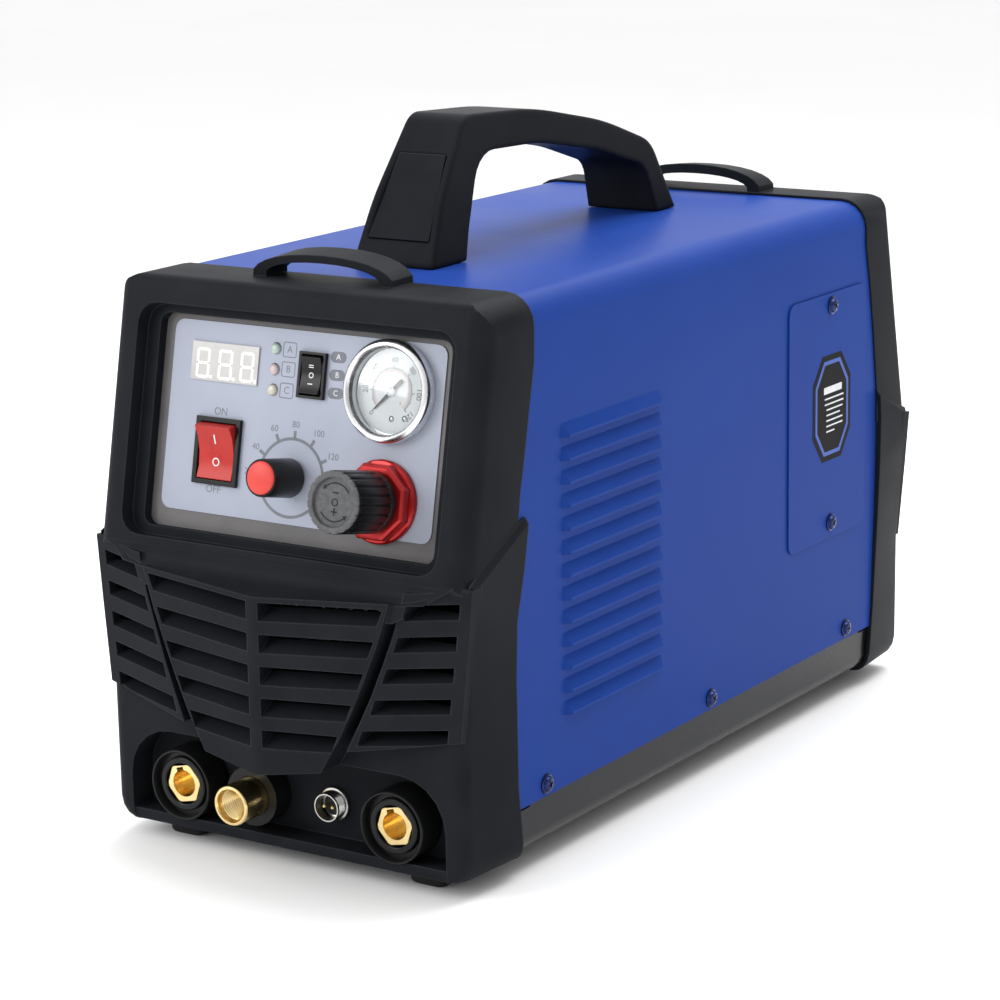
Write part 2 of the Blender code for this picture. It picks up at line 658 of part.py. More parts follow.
def service_cover():
    """Flat lid on the right side, held by two screws."""
    outline = rounded([(SERVICE_Y[0], SERVICE_Z[0]), (SERVICE_Y[1], SERVICE_Z[0]),
                       (SERVICE_Y[1], SERVICE_Z[1]), (SERVICE_Y[0], SERVICE_Z[1])], 6.0)
    body = along_x(outline, COVER_HALF_WIDTH + 0.15, COVER_HALF_WIDTH + 0.95)
    holes = [placed(lathe([(0, -5), (2.3, -5), (2.3, 5), (0, 5)], 12),
                    Matrix.Translation((COVER_HALF_WIDTH, SERVICE_SCREW_Y, z)) @ TO_RIGHT)
             for z in SERVICE_SCREW_Z]
    finish("service_cover", cut(body, *holes), "blue_powder")


# ---------------------------------------------------------------- carrying handle and feet
def handle_half(y, z):
    """Half the handle's width: wide feet, a slimmer grip, and a rear foot slimmer than the front one."""
    return 22.8 - (z - 259.0) * 7.0 / 67.0 - 2.2 * (y + 120.0) / 230.0 * (327.0 - z) / 68.0


def carry_handle():
    outer = rounded([(-119.8, 259.3), (-106.4, 289.0), (-80.0, 326.3), (-20.0, 323.5), (44.0, 311.0),
                     (88.5, 296.0), (109.0, 259.3)], [0, 90.0, 11.0, 240.0, 240.0, 22.0, 0], 5)
    inner = rounded([(89.0, 259.3), (80.5, 284.0), (37.6, 296.8), (-16.7, 306.6), (-71.0, 308.0),
                     (-86.0, 273.0), (-90.5, 259.3)], [0, 14.0, 150.0, 150.0, 20.0, 60.0, 0], 5)
    outline = outer + inner
    body = loft([[(side * handle_half(y, z), y, z) for y, z in outline] for side in (-1, 1)])
    body = cut(body, insert_shape(0.0, 1.6))
    finish("carry_handle", body, "black_plastic")
    finish("handle_insert_plate", insert_shape(0.35, 1.25), "black_plastic")


def insert_shape(gap, depth):
    """Slightly sunken plate on the front face of the front leg, or the pocket for it."""
    low = (-114.5, 271.0)
    high = (-92.5, 309.0)
    lean = Vector((high[0] - low[0], high[1] - low[1])).normalized()
    out = Vector((-lean.y, lean.x))
    sections = []
    for along, half in ((gap, 17.2), (Vector((high[0] - low[0], high[1] - low[1])).length - gap, 13.2)):
        foot = Vector(low) + lean * along
        outer = foot + out * (3.2 if gap == 0 else 0.2)
        inner = foot - out * (depth + 0.2)
        wide = half - gap
        sections.append([(-wide, outer.x, outer.y), (wide, outer.x, outer.y),
                         (wide, inner.x, inner.y), (-wide, inner.x, inner.y)])
    return loft(sections)


def feet():
    """Square rubber feet with rounded edges, under the end covers."""
    levels = ((FLOOR_Z, 7.9), (FLOOR_Z + 0.5, 8.8), (FLOOR_Z + 1.8, 9.4), (COVER_FOOT - 0.3, 9.6))
    for x_word, x in (("left", -FOOT_X), ("right", FOOT_X)):
        for y_word, y in (("front", -FOOT_Y), ("rear", FOOT_Y)):
            body = loft([[(px, py, z) for px, py in rounded_box(half, half, 3.0, 3, (x, y))]
                         for z, half in levels])
            finish("foot_%s_%s" % (y_word, x_word), body, "rubber")


# ---------------------------------------------------------------- front panel
def control_panel():
    """Tilted metal plate with its cut-outs, and the film on it."""
    cutters = ((DISPLAY, 18.2, 8.2), (MODE_SWITCH, 6.7, 9.8), (POWER_SWITCH, 11.4, 14.2))
    rounds = ((GAUGE, 20.4), (CURRENT_KNOB, 3.9), (REGULATOR, 11.4)) + tuple(
        ((LED_X, up), 2.8) for _, up in LEDS)
    plate = along_z(rounded_box(84.5, 52.0, 3.0, 3, (0.0, 40.9)), -2.3, -0.3)
    film = along_z(rounded_box(75.5, 43.85, 5.0, 4, (0.0, 43.85)), -0.05, 0.35)
    for name, body, colour in (("control_panel", plate, "grey_panel"),
                               ("panel_overlay", film, "panel_film")):
        tools = [placed(box((-hx, hx), (-hy, hy), (-5, 5)), Matrix.Translation((*spot, 0)))
                 for spot, hx, hy in cutters]
        tools += [placed(lathe([(0, -5), (r, -5), (r, 5), (0, 5)], 24 if r > 9 else 12),
                         Matrix.Translation((*spot, 0))) for spot, r in rounds]
        finish(name, placed(cut(body, *tools), PANEL), colour)


def display_module():
    body = join(box((-18.0, 18.0), (-8.0, 8.0), (-9.0, 0.2)),
                box((-19.0, 19.0), (-8.8, 8.8), (0.5, 1.1)),
                box((-17.8, 17.8), (-7.8, 7.8), (0.0, 0.8)))
    finish("display_module", on_panel(body, DISPLAY), "display_grey")


def status_leds():
    for name, up in LEDS:
        colour = name.replace("status_", "")
        body = lathe([(0, -6.0), (2.5, -6.0), (2.5, 0.5), (1.8, 1.7), (0, 2.2)], 12)
        finish(name, on_panel(body, (LED_X, up)), colour)


def rocker_switch(prefix, spot, bezel, radius, half, end_rise, dip, tilt, colour, body_half):
    """Snap-in rocker switch: a housing with a pocket, and the rocker that turns in it."""
    rim_x, rim_y = bezel[0] / 2, bezel[1] / 2
    housing = join(box((-rim_x, rim_x), (-rim_y, rim_y), (0.5, 2.4)),
                   box((-body_half[0], body_half[0]), (-body_half[1], body_half[1]), (-19.0, 1.5)))
    pivot = 0.6
    housing = cut(housing, box((-half - 0.25, half + 0.25), (-radius - 0.25, radius + 0.25),
                               (-radius + 2.0, 10)))
    finish(prefix + "_switch_housing", on_panel(housing, spot), "black_plastic")
    top = math.asin(end_rise / radius)
    low = math.radians(-34)
    right = [(radius * math.cos(a), radius * math.sin(a))
             for a in (top, top * 0.5, 0.0, low * 0.5, low)]
    profile = right + [(-u, n) for u, n in right[::-1]]
    hollow = dip + (end_rise - dip) * 0.30
    profile += [(-radius * 0.55, hollow), (0.0, dip), (radius * 0.55, hollow)]
    rocker = loft([[(x, u, n) for u, n in profile] for x in (-half, half)])
    rocker = placed(rocker, Matrix.Rotation(math.radians(tilt), 4, "X"))
    finish(prefix + "_rocker", on_panel(rocker, spot, pivot), colour, panel_point(*spot, pivot))


def switches():
    rocker_switch("power", POWER_SWITCH, (25.6, 31.0), 12.9, 10.0, 4.2, 1.2, ROCKER_TILT,
                  "red_rocker", (11.2, 14.0))
    rocker_switch("mode", MODE_SWITCH, (15.0, 21.0), 8.9, 5.6, 3.6, 1.3, 0.0,
                  "black_plastic", (6.5, 9.6))


def current_control():
    """Potentiometer through the panel, with its knob and red cap."""
    pot = lathe([(0, -17.0), (8.5, -17.0), (8.5, -2.6), (3.5, -2.6), (3.5, 0.6), (8.6, 0.6), (8.6, 1.5),
                 (5.6, 1.5), (5.6, 4.4), (3.0, 4.4), (3.0, 15.0), (0, 15.0)], 20)
    finish("current_potentiometer", on_panel(pot, CURRENT_KNOB), "chrome")
    knob = lathe([(3.06, 5.6), (6.4, 5.6), (6.4, 1.9), (9.0, 1.9), (8.6, 23.0), (7.6, 23.0),
                  (7.6, 21.4), (0, 21.4), (0, 17.0), (3.06, 17.0)], 24)
    origin = panel_point(*CURRENT_KNOB, 12.0)
    finish("current_knob", on_panel(knob, CURRENT_KNOB), "black_plastic", origin)
    cap = lathe([(0, 21.5), (7.5, 21.5), (7.5, 23.3), (0, 24.1)], 24)
    finish("current_knob_cap", on_panel(cap, CURRENT_KNOB), "red_cap", origin)


def regulator():
    """Air regulator: body behind the panel, red ring nut, spindle and pull-out knob."""
    body = join(box((-24.0, 24.0), (-22.0, 22.0), (-52.0, -8.0)),
                lathe([(0, -12.0), (11.0, -12.0), (11.0, 11.5), (6.2, 11.5), (6.2, 14.0),
                       (4.3, 14.0), (4.3, -4.0), (0, -4.0)], 20))
    finish("regulator_body", on_panel(body, REGULATOR), "aluminium")
    nut = lathe([(11.4, 0.6), (19.8, 0.6), (19.8, 2.6), (18.8, 3.6), (11.4, 3.6)], 28)
    flats = along_z(circle(18.3, 8, math.pi / 8), 3.0, 8.6)
    flats = cut(flats, lathe([(0, -5), (11.4, -5), (11.4, 20), (0, 20)], 28))
    finish("regulator_nut", on_panel(join(nut, flats), REGULATOR), "red_anodised")
    spindle = lathe([(0, -3.0), (4.2, -3.0), (4.2, 13.0), (3.0, 14.5), (3.0, 31.0), (0, 31.0)], 20)
    finish("regulator_spindle", on_panel(spindle, REGULATOR), "steel",
           panel_point(*REGULATOR, 10.0))
    flutes = []
    teeth = 20
    for k in range(teeth):
        for part, radius in ((0.0, 14.0), (0.55, 14.0), (0.78, 13.3)):
            angle = 2 * math.pi * (k + part) / teeth
            flutes.append((radius * math.cos(angle), radius * math.sin(angle)))
    knob = along_z(flutes, 9.5, 38.0)
    knob = cut(knob, lathe([(0, 5.0), (12.0, 5.0), (12.0, 15.5), (0, 15.5)], 20),
               lathe([(0, 10.0), (3.06, 10.0), (3.06, 35.2), (0, 35.2)], 20),
               lathe([(0, 37.2), (11.6, 37.2), (11.6, 45.0), (0, 45.0)], 20))
    finish("regulator_knob", on_panel(knob, REGULATOR), "black_plastic",
           panel_point(*REGULATOR, 24.0))


def gauge():
    """Round pressure gauge: case, dial, needle and lens."""
    case = lathe([(0, -26.0), (19.9, -26.0), (19.9, 0.6), (23.3, 0.6), (23.3, 4.6), (22.0, 6.8),
                  (20.2, 7.0), (19.2, 5.4), (19.2, -0.8), (0, -0.8)], 28)
    stem = join(lathe([(0, -0.9), (1.3, -0.9), (1.3, 0.55), (0, 0.55)], 16),
                lathe([(0, 0.3), (0.7, 0.3), (0.7, 1.9), (0, 1.9)], 16))
    case = join(case, stem)
    finish("gauge_case", on_panel(case, GAUGE), "chrome")
    dial = lathe([(1.7, -0.5), (18.9, -0.5), (18.9, 0.0), (1.7, 0.0)], 28)
    finish("gauge_dial", on_panel(dial, GAUGE), "white_dial")
    turn = math.radians(225)
    blade = [(-5.2, -0.9), (-1.4, -0.45), (13.8, -0.16), (13.8, 0.16), (-1.4, 0.45), (-5.2, 0.9)]
    needle = along_z([(x * math.cos(turn) - y * math.sin(turn), x * math.sin(turn) + y * math.cos(turn))
                      for x, y in blade], 0.75, 1.25)
    hub = lathe([(0, 0.7), (2.0, 0.7), (2.0, 1.7), (0, 1.7)], 20)
    needle = cut(join(needle, hub), lathe([(0, -1), (0.76, -1), (0.76, 3), (0, 3)], 16))
    finish("gauge_needle", on_panel(needle, GAUGE), "ferrite", panel_point(*GAUGE, 1.2))
    lens = lathe([(0, 2.9), (18.8, 2.9), (18.8, 4.4), (0, 4.4)], 28)
    finish("gauge_lens", on_panel(lens, GAUGE), "glass")


# ---------------------------------------------------------------- connector recess
def output_socket(word, x):
    """Cable socket: black insulator cup with a keyed brass contact in the middle."""
    shell = lathe([(9.9, -12.0), (13.3, -12.0), (13.3, 0.3), (17.1, 0.3), (17.1, 15.6), (16.0, 16.0),
                   (15.2, 11.5), (13.2, 11.5), (12.4, 14.0), (9.9, 14.0)], 22)
    finish("output_socket_%s_insulator" % word,
           facing_front(shell, x, RECESS_BACK_Y, SOCKET_Z), "black_plastic")
    hexagon = along_z(circle(9.9, 6, math.radians(12)), -4.0, 12.8)
    hexagon = common(hexagon, lathe([(0, -5), (9.6, -5), (9.6, 13.0), (0, 13.0)], 24))
    tail = lathe([(0, -36.0), (4.8, -36.0), (4.8, -3.0), (0, -3.0)], 16)
    contact = join(hexagon, tail)
    key = placed(box((-2.0, 2.0), (5.0, 7.9), (-1.5, 30.0)), Matrix.Rotation(math.radians(18), 4, "Z"))
    contact = cut(contact, lathe([(0, -2.0), (6.5, -2.0), (6.5, 20.0), (0, 20.0)], 20), key)
    finish("output_socket_%s_contact" % word,
           facing_front(contact, x, RECESS_BACK_Y, SOCKET_Z), "brass")


def connectors():
    output_socket("left", -SOCKET_X)
    output_socket("right", SOCKET_X)
    tube = lathe([(0, -30.0), (6.5, -30.0), (6.5, -9.0), (9.5, -8.0), (9.5, 27.0), (9.0, 28.0),
                  (7.25, 28.0), (7.25, 2.0), (0, 2.0)], 24)
    finish("torch_connector", facing_front(tube, GAS_X, RECESS_BACK_Y, SOCKET_Z), "brass")
    collar = lathe([(9.8, 0.3), (14.25, 0.3), (14.25, 11.8), (9.8, 11.8)], 22)
    finish("torch_connector_collar", facing_front(collar, GAS_X, RECESS_BACK_Y, SOCKET_Z),
           "black_plastic")
    shell = lathe([(0, -14.0), (6.0, -14.0), (6.0, 0.3), (8.2, 0.3), (8.2, 1.6), (7.0, 2.2),
                   (7.0, 8.0), (6.0, 8.0), (6.0, 1.0), (0, 1.0)], 20)
    key = box((-0.8, 0.8), (5.4, 6.2), (0.5, 6.0))
    finish("control_socket_shell",
           facing_front(join(shell, key), CONTROL_X, RECESS_BACK_Y, SOCKET_Z), "chrome")
    insert = lathe([(0, 1.3), (5.0, 1.3), (5.0, 2.6), (0, 2.6)], 16)
    pins = [placed(lathe([(0, 2.0), (0.8, 2.0), (0.8, 6.8), (0, 6.8)], 10),
                   Matrix.Translation((px, 0, 0))) for px in (-2.3, 2.3)]
    finish("control_socket_insert",
           facing_front(join(insert, *pins), CONTROL_X, RECESS_BACK_Y, SOCKET_Z), "ferrite")


# ---------------------------------------------------------------- inside and rear
def inside():
    """The power electronics, fan and gas valve, as the usual machine has them."""
    board = box((-88, 88), (-120, 95), (60, 62))
    posts = [box((x - 4, x + 4), (y - 4, y + 4), (PAN_FLOOR + 0.2, 61)) for x in (-80, 80) for y in (-110, 85)]
    finish("inverter_board", join(board, *posts), "circuit_board")
    fins = box((-80, -12), (-110, 60), (62.3, 70))
    ribs = [box((-80 + 8.5 * k, -77.5 + 8.5 * k), (-110, 60), (69, 118)) for k in range(9)]
    finish("heatsink", join(fins, *ribs), "aluminium")
    core = box((12, 72), (-20, 40), (62.3, 122))
    winding = rounded_box(32.0, 22.0, 8.0, 3, (42.0, 92.0))
    core = join(core, along_y([(x, z) for x, z in winding], -32, 52))
    finish("main_transformer", core, "ferrite")
    ring = lathe([(12, -12), (30, -12), (32, -9), (32, 9), (30, 12), (12, 12)], 16)
    finish("output_choke", placed(ring, Matrix.Translation((44, -80, 94.6)) @ TO_FRONT), "copper")
    can = lathe([(0, 0), (17.0, 0), (17.5, 1.0), (17.5, 47.0), (16.5, 48.0), (0, 48.0)], 24)
    finish("main_capacitor", placed(can, Matrix.Translation((35, 72, 62.3))), "capacitor_sleeve")


def fan():
    """Axial fan behind the rear panel."""
    frame = along_z(rounded_box(46.0, 46.0, 6.0, 3), -12.5, 12.5)
    frame = cut(frame, lathe([(0, -20), (43.0, -20), (43.0, 20), (0, 20)], 32))
    motor = lathe([(0, -12.3), (18.0, -12.3), (18.0, -9.0), (0, -9.0)], 24)
    arms = [placed(box((15.0, 45.0), (-2.0, 2.0), (-12.3, -9.5)), Matrix.Rotation(math.radians(a), 4, "Z"))
            for a in (45, 135, 225, 315)]
    pin = lathe([(0, -10.0), (1.5, -10.0), (1.5, -2.0), (0, -2.0)], 14)
    frame = join(frame, motor, *arms, pin)
    place = Matrix.Translation((0, FAN_Y, FAN_Z)) @ TO_REAR
    finish("fan_frame", placed(frame, place), "black_plastic")
    hub = lathe([(0, 9.5), (0, -0.5), (1.55, -0.5), (1.55, -8.0), (17.5, -8.0), (18.0, -7.0),
                 (18.0, 8.5), (17.0, 9.5)], 20)
    tip = 39.8
    blades = []
    for k in range(7):
        near = [(16.0, -5.5, -6.0), (16.0, -4.0, -6.0), (16.0, 6.5, 7.0), (16.0, 5.0, 7.0)]
        far = [(tip, -10.5, -5.0), (tip, -9.0, -5.0), (tip, 9.5, 6.5), (tip, 8.0, 6.5)]
        blades.append(placed(loft([near, far]), Matrix.Rotation(2 * math.pi * k / 7, 4, "Z")))
    finish("fan_rotor", placed(join(hub, *blades), place), "black_plastic", (0, FAN_Y, FAN_Z))


def gas_valve():
    """Solenoid valve with a sliding plunger."""
    block = join(box((-82, -56), (84, 116), (62.3, 92)), box((-80, -58), (88, 112), (90, 128)))
    bore = lathe([(0, 70.0), (6.1, 70.0), (6.1, 140.0), (0, 140.0)], 24)
    block = cut(block, placed(bore, Matrix.Translation((-69, 100, 0))))
    finish("solenoid_valve", block, "brass")
    plunger = lathe([(0, 74.0), (6.0, 74.0), (6.0, 131.0), (5.0, 132.0), (0, 132.0)], 24)
    finish("solenoid_plunger", placed(plunger, Matrix.Translation((-69, 100, 0))), "steel",
           (-69, 100, 100))


def rear_fittings():
    """Cord gland and air inlet in the rear recess."""
    seat = -RECESS_BACK_Y
    gland = lathe([(4.2, -14.0), (9.9, -14.0), (9.9, 0.3), (14.0, 0.3), (14.0, 6.0), (12.0, 6.5),
                   (12.0, 15.0), (10.5, 18.0), (4.2, 18.0)], 18)
    finish("power_cord_gland", placed(gland, Matrix.Translation((45.0, seat, SOCKET_Z)) @ TO_REAR),
           "black_plastic")
    barb = lathe([(2.2, -12.0), (6.5, -12.0), (6.5, 0.3), (10.0, 0.3), (10.0, 12.0), (5.2, 12.5),
                  (5.2, 22.0), (6.2, 22.5), (5.0, 29.0), (6.2, 29.5), (4.6, BARB_TIP), (2.2, BARB_TIP)], 16)
    finish("air_inlet_fitting", placed(barb, Matrix.Translation((-45.0, seat, SOCKET_Z)) @ TO_REAR),
           "brass")


def build():
    for old in list(bpy.data.objects):
        bpy.data.objects.remove(old)
    front_cover()
    rear_cover()
    top_cover()
    base_pan()
    screws()
    service_cover()
    carry_handle()
    feet()
    control_panel()
    display_module()
    status_leds()
    switches()
    current_control()
    regulator()
    gauge()
    connectors()
    inside()
    fan()
    gas_valve()
    rear_fittings()


build()
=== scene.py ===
"""Portable inverter welding machine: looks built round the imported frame."""
import json
import math

import bmesh
import bpy
from mathutils import Matrix, Vector
from mathutils.bvhtree import BVHTree


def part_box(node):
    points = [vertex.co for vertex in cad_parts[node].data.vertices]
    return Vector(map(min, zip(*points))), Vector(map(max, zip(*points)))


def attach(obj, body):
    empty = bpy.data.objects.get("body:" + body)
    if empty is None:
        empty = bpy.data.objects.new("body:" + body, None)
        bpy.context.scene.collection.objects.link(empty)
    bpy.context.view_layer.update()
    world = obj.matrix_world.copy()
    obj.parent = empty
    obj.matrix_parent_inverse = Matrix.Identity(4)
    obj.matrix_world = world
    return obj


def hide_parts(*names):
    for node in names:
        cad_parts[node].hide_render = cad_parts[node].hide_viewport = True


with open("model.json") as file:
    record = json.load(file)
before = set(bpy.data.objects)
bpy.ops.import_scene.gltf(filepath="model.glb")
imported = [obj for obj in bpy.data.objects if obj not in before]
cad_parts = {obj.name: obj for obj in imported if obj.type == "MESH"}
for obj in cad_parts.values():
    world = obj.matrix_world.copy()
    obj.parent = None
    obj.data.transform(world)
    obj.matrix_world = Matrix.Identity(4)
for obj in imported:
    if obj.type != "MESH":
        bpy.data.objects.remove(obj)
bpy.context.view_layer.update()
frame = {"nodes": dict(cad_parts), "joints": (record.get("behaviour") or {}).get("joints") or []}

MM = 0.001
X = Vector((1.0, 0.0, 0.0))
JOINTS = {joint["name"]: joint for joint in frame["joints"]}


# ---------------------------------------------------------------- materials
def node(tree, kind, **values):
    """A shader node with its inputs or settings filled in."""
    made = tree.nodes.new(kind)
    for key, value in values.items():
        name = key.replace("_", " ")
        if name in made.inputs:
            made.inputs[name].default_value = value
        else:
            setattr(made, key, value)
    return made


def between(tree, source, low, high, out_low, out_high):
    """Map a value from low..high to a pair of numbers or colours."""
    if isinstance(out_low, (tuple, list)):
        made = node(tree, "ShaderNodeValToRGB")
        made.color_ramp.elements[0].position = low
        made.color_ramp.elements[1].position = high
        made.color_ramp.elements[0].color = (*out_low, 1.0)
        made.color_ramp.elements[1].color = (*out_high, 1.0)
        tree.links.new(source, made.inputs["Fac"])
        return made.outputs["Color"]
    made = node(tree, "ShaderNodeMapRange")
    for index, value in enumerate((low, high, out_low, out_high), 1):
        made.inputs[index].default_value = value
    tree.links.new(source, made.inputs["Value"])
    return made.outputs["Result"]


def lighten_edges_wear_and_highlight(tree, colour, tone, rounded_normal, breakup):
    """Lighten the rounded edges a little, unevenly: part wear, part painted highlight."""
    flat = node(tree, "ShaderNodeNewGeometry")
    dot = node(tree, "ShaderNodeVectorMath", operation="DOT_PRODUCT")
    tree.links.new(rounded_normal, dot.inputs[0])
    tree.links.new(flat.outputs["Normal"], dot.inputs[1])
    mask = between(tree, dot.outputs["Value"], 0.99, 0.88, 0.0, 1.0)
    uneven = between(tree, breakup, 0.35, 0.6, 0.45, 1.0)
    both = node(tree, "ShaderNodeMath", operation="MULTIPLY")
    tree.links.new(mask, both.inputs[0])
    tree.links.new(uneven, both.inputs[1])
    mix = node(tree, "ShaderNodeMix", data_type="RGBA")
    tree.links.new(both.outputs["Value"], mix.inputs["Factor"])
    sockets = [s for s in mix.inputs if s.type == "RGBA"]
    tree.links.new(colour, sockets[0])
    sockets[1].default_value = (*tone, 1.0)
    return next(s for s in mix.outputs if s.type == "RGBA")


def surface(name, dark, light, rough, metallic=0.0, mottle=30.0, grain=1500.0, bump=0.2, depth=0.05,
            edge_wear_and_highlight=None, rounding=0.0, **fixed):
    """Procedural finish: mottled colour, uneven gloss and fine grain.

    mottle and grain are patterns per metre, depth is the grain's height and rounding the
    radius of softened edges in mm; the edge colour is what those edges lighten towards, part wear and part
    painted highlight.
    """
    made = bpy.data.materials.new(name)
    made.use_nodes = True
    tree = made.node_tree
    shader = tree.nodes["Principled BSDF"]
    shader.inputs["Metallic"].default_value = metallic
    for key, value in fixed.items():
        shader.inputs[key.replace("_", " ")].default_value = value
    place = node(tree, "ShaderNodeTexCoord")
    patches = node(tree, "ShaderNodeTexNoise", Scale=mottle, Detail=3.0, Roughness=0.6)
    fine = node(tree, "ShaderNodeTexNoise", Scale=grain, Detail=2.0, Roughness=0.55)
    for noise in (patches, fine):
        tree.links.new(place.outputs["Object"], noise.inputs["Vector"])
    colour = between(tree, patches.outputs["Fac"], 0.35, 0.65, dark, light)
    height = node(tree, "ShaderNodeBump", Strength=bump, Distance=depth * MM)
    if rounding:
        rounded_edge = node(tree, "ShaderNodeBevel", samples=4, Radius=rounding * MM)
        tree.links.new(rounded_edge.outputs["Normal"], height.inputs["Normal"])
        # painted highlight mixed with wear: the rounded edges lighten towards the edge colour
        if edge_wear_and_highlight:
            colour = lighten_edges_wear_and_highlight(tree, colour, edge_wear_and_highlight, rounded_edge.outputs["Normal"], fine.outputs["Fac"])
    tree.links.new(colour, shader.inputs["Base Color"])
    tree.links.new(between(tree, patches.outputs["Fac"], 0.3, 0.7, rough[0], rough[1]),
                   shader.inputs["Roughness"])
    tree.links.new(fine.outputs["Fac"], height.inputs["Height"])
    tree.links.new(height.outputs["Normal"], shader.inputs["Normal"])
    return made


def clear_lens():
    """Thin glass: clear straight on, mirroring at a slant."""
    made = bpy.data.materials.new("lens_glass")
    made.use_nodes = True
    tree = made.node_tree
    tree.nodes.remove(tree.nodes["Principled BSDF"])
    place = node(tree, "ShaderNodeTexCoord")
    smear = node(tree, "ShaderNodeTexNoise", Scale=140.0, Detail=3.0)
    tree.links.new(place.outputs["Object"], smear.inputs["Vector"])
    clear = node(tree, "ShaderNodeBsdfTransparent")
    clear.inputs["Color"].default_value = (0.97, 0.98, 0.98, 1.0)
    gloss = node(tree, "ShaderNodeBsdfGlossy")
    tree.links.new(between(tree, smear.outputs["Fac"], 0.3, 0.7, 0.03, 0.10), gloss.inputs["Roughness"])
    fresnel = node(tree, "ShaderNodeFresnel")
    fresnel.inputs["IOR"].default_value = 1.42
    mix = node(tree, "ShaderNodeMixShader")
    tree.links.new(fresnel.outputs["Fac"], mix.inputs[0])
    tree.links.new(clear.outputs["BSDF"], mix.inputs[1])
    tree.links.new(gloss.outputs["BSDF"], mix.inputs[2])
    tree.links.new(mix.outputs["Shader"], tree.nodes["Material Output"].inputs["Surface"])
    return made


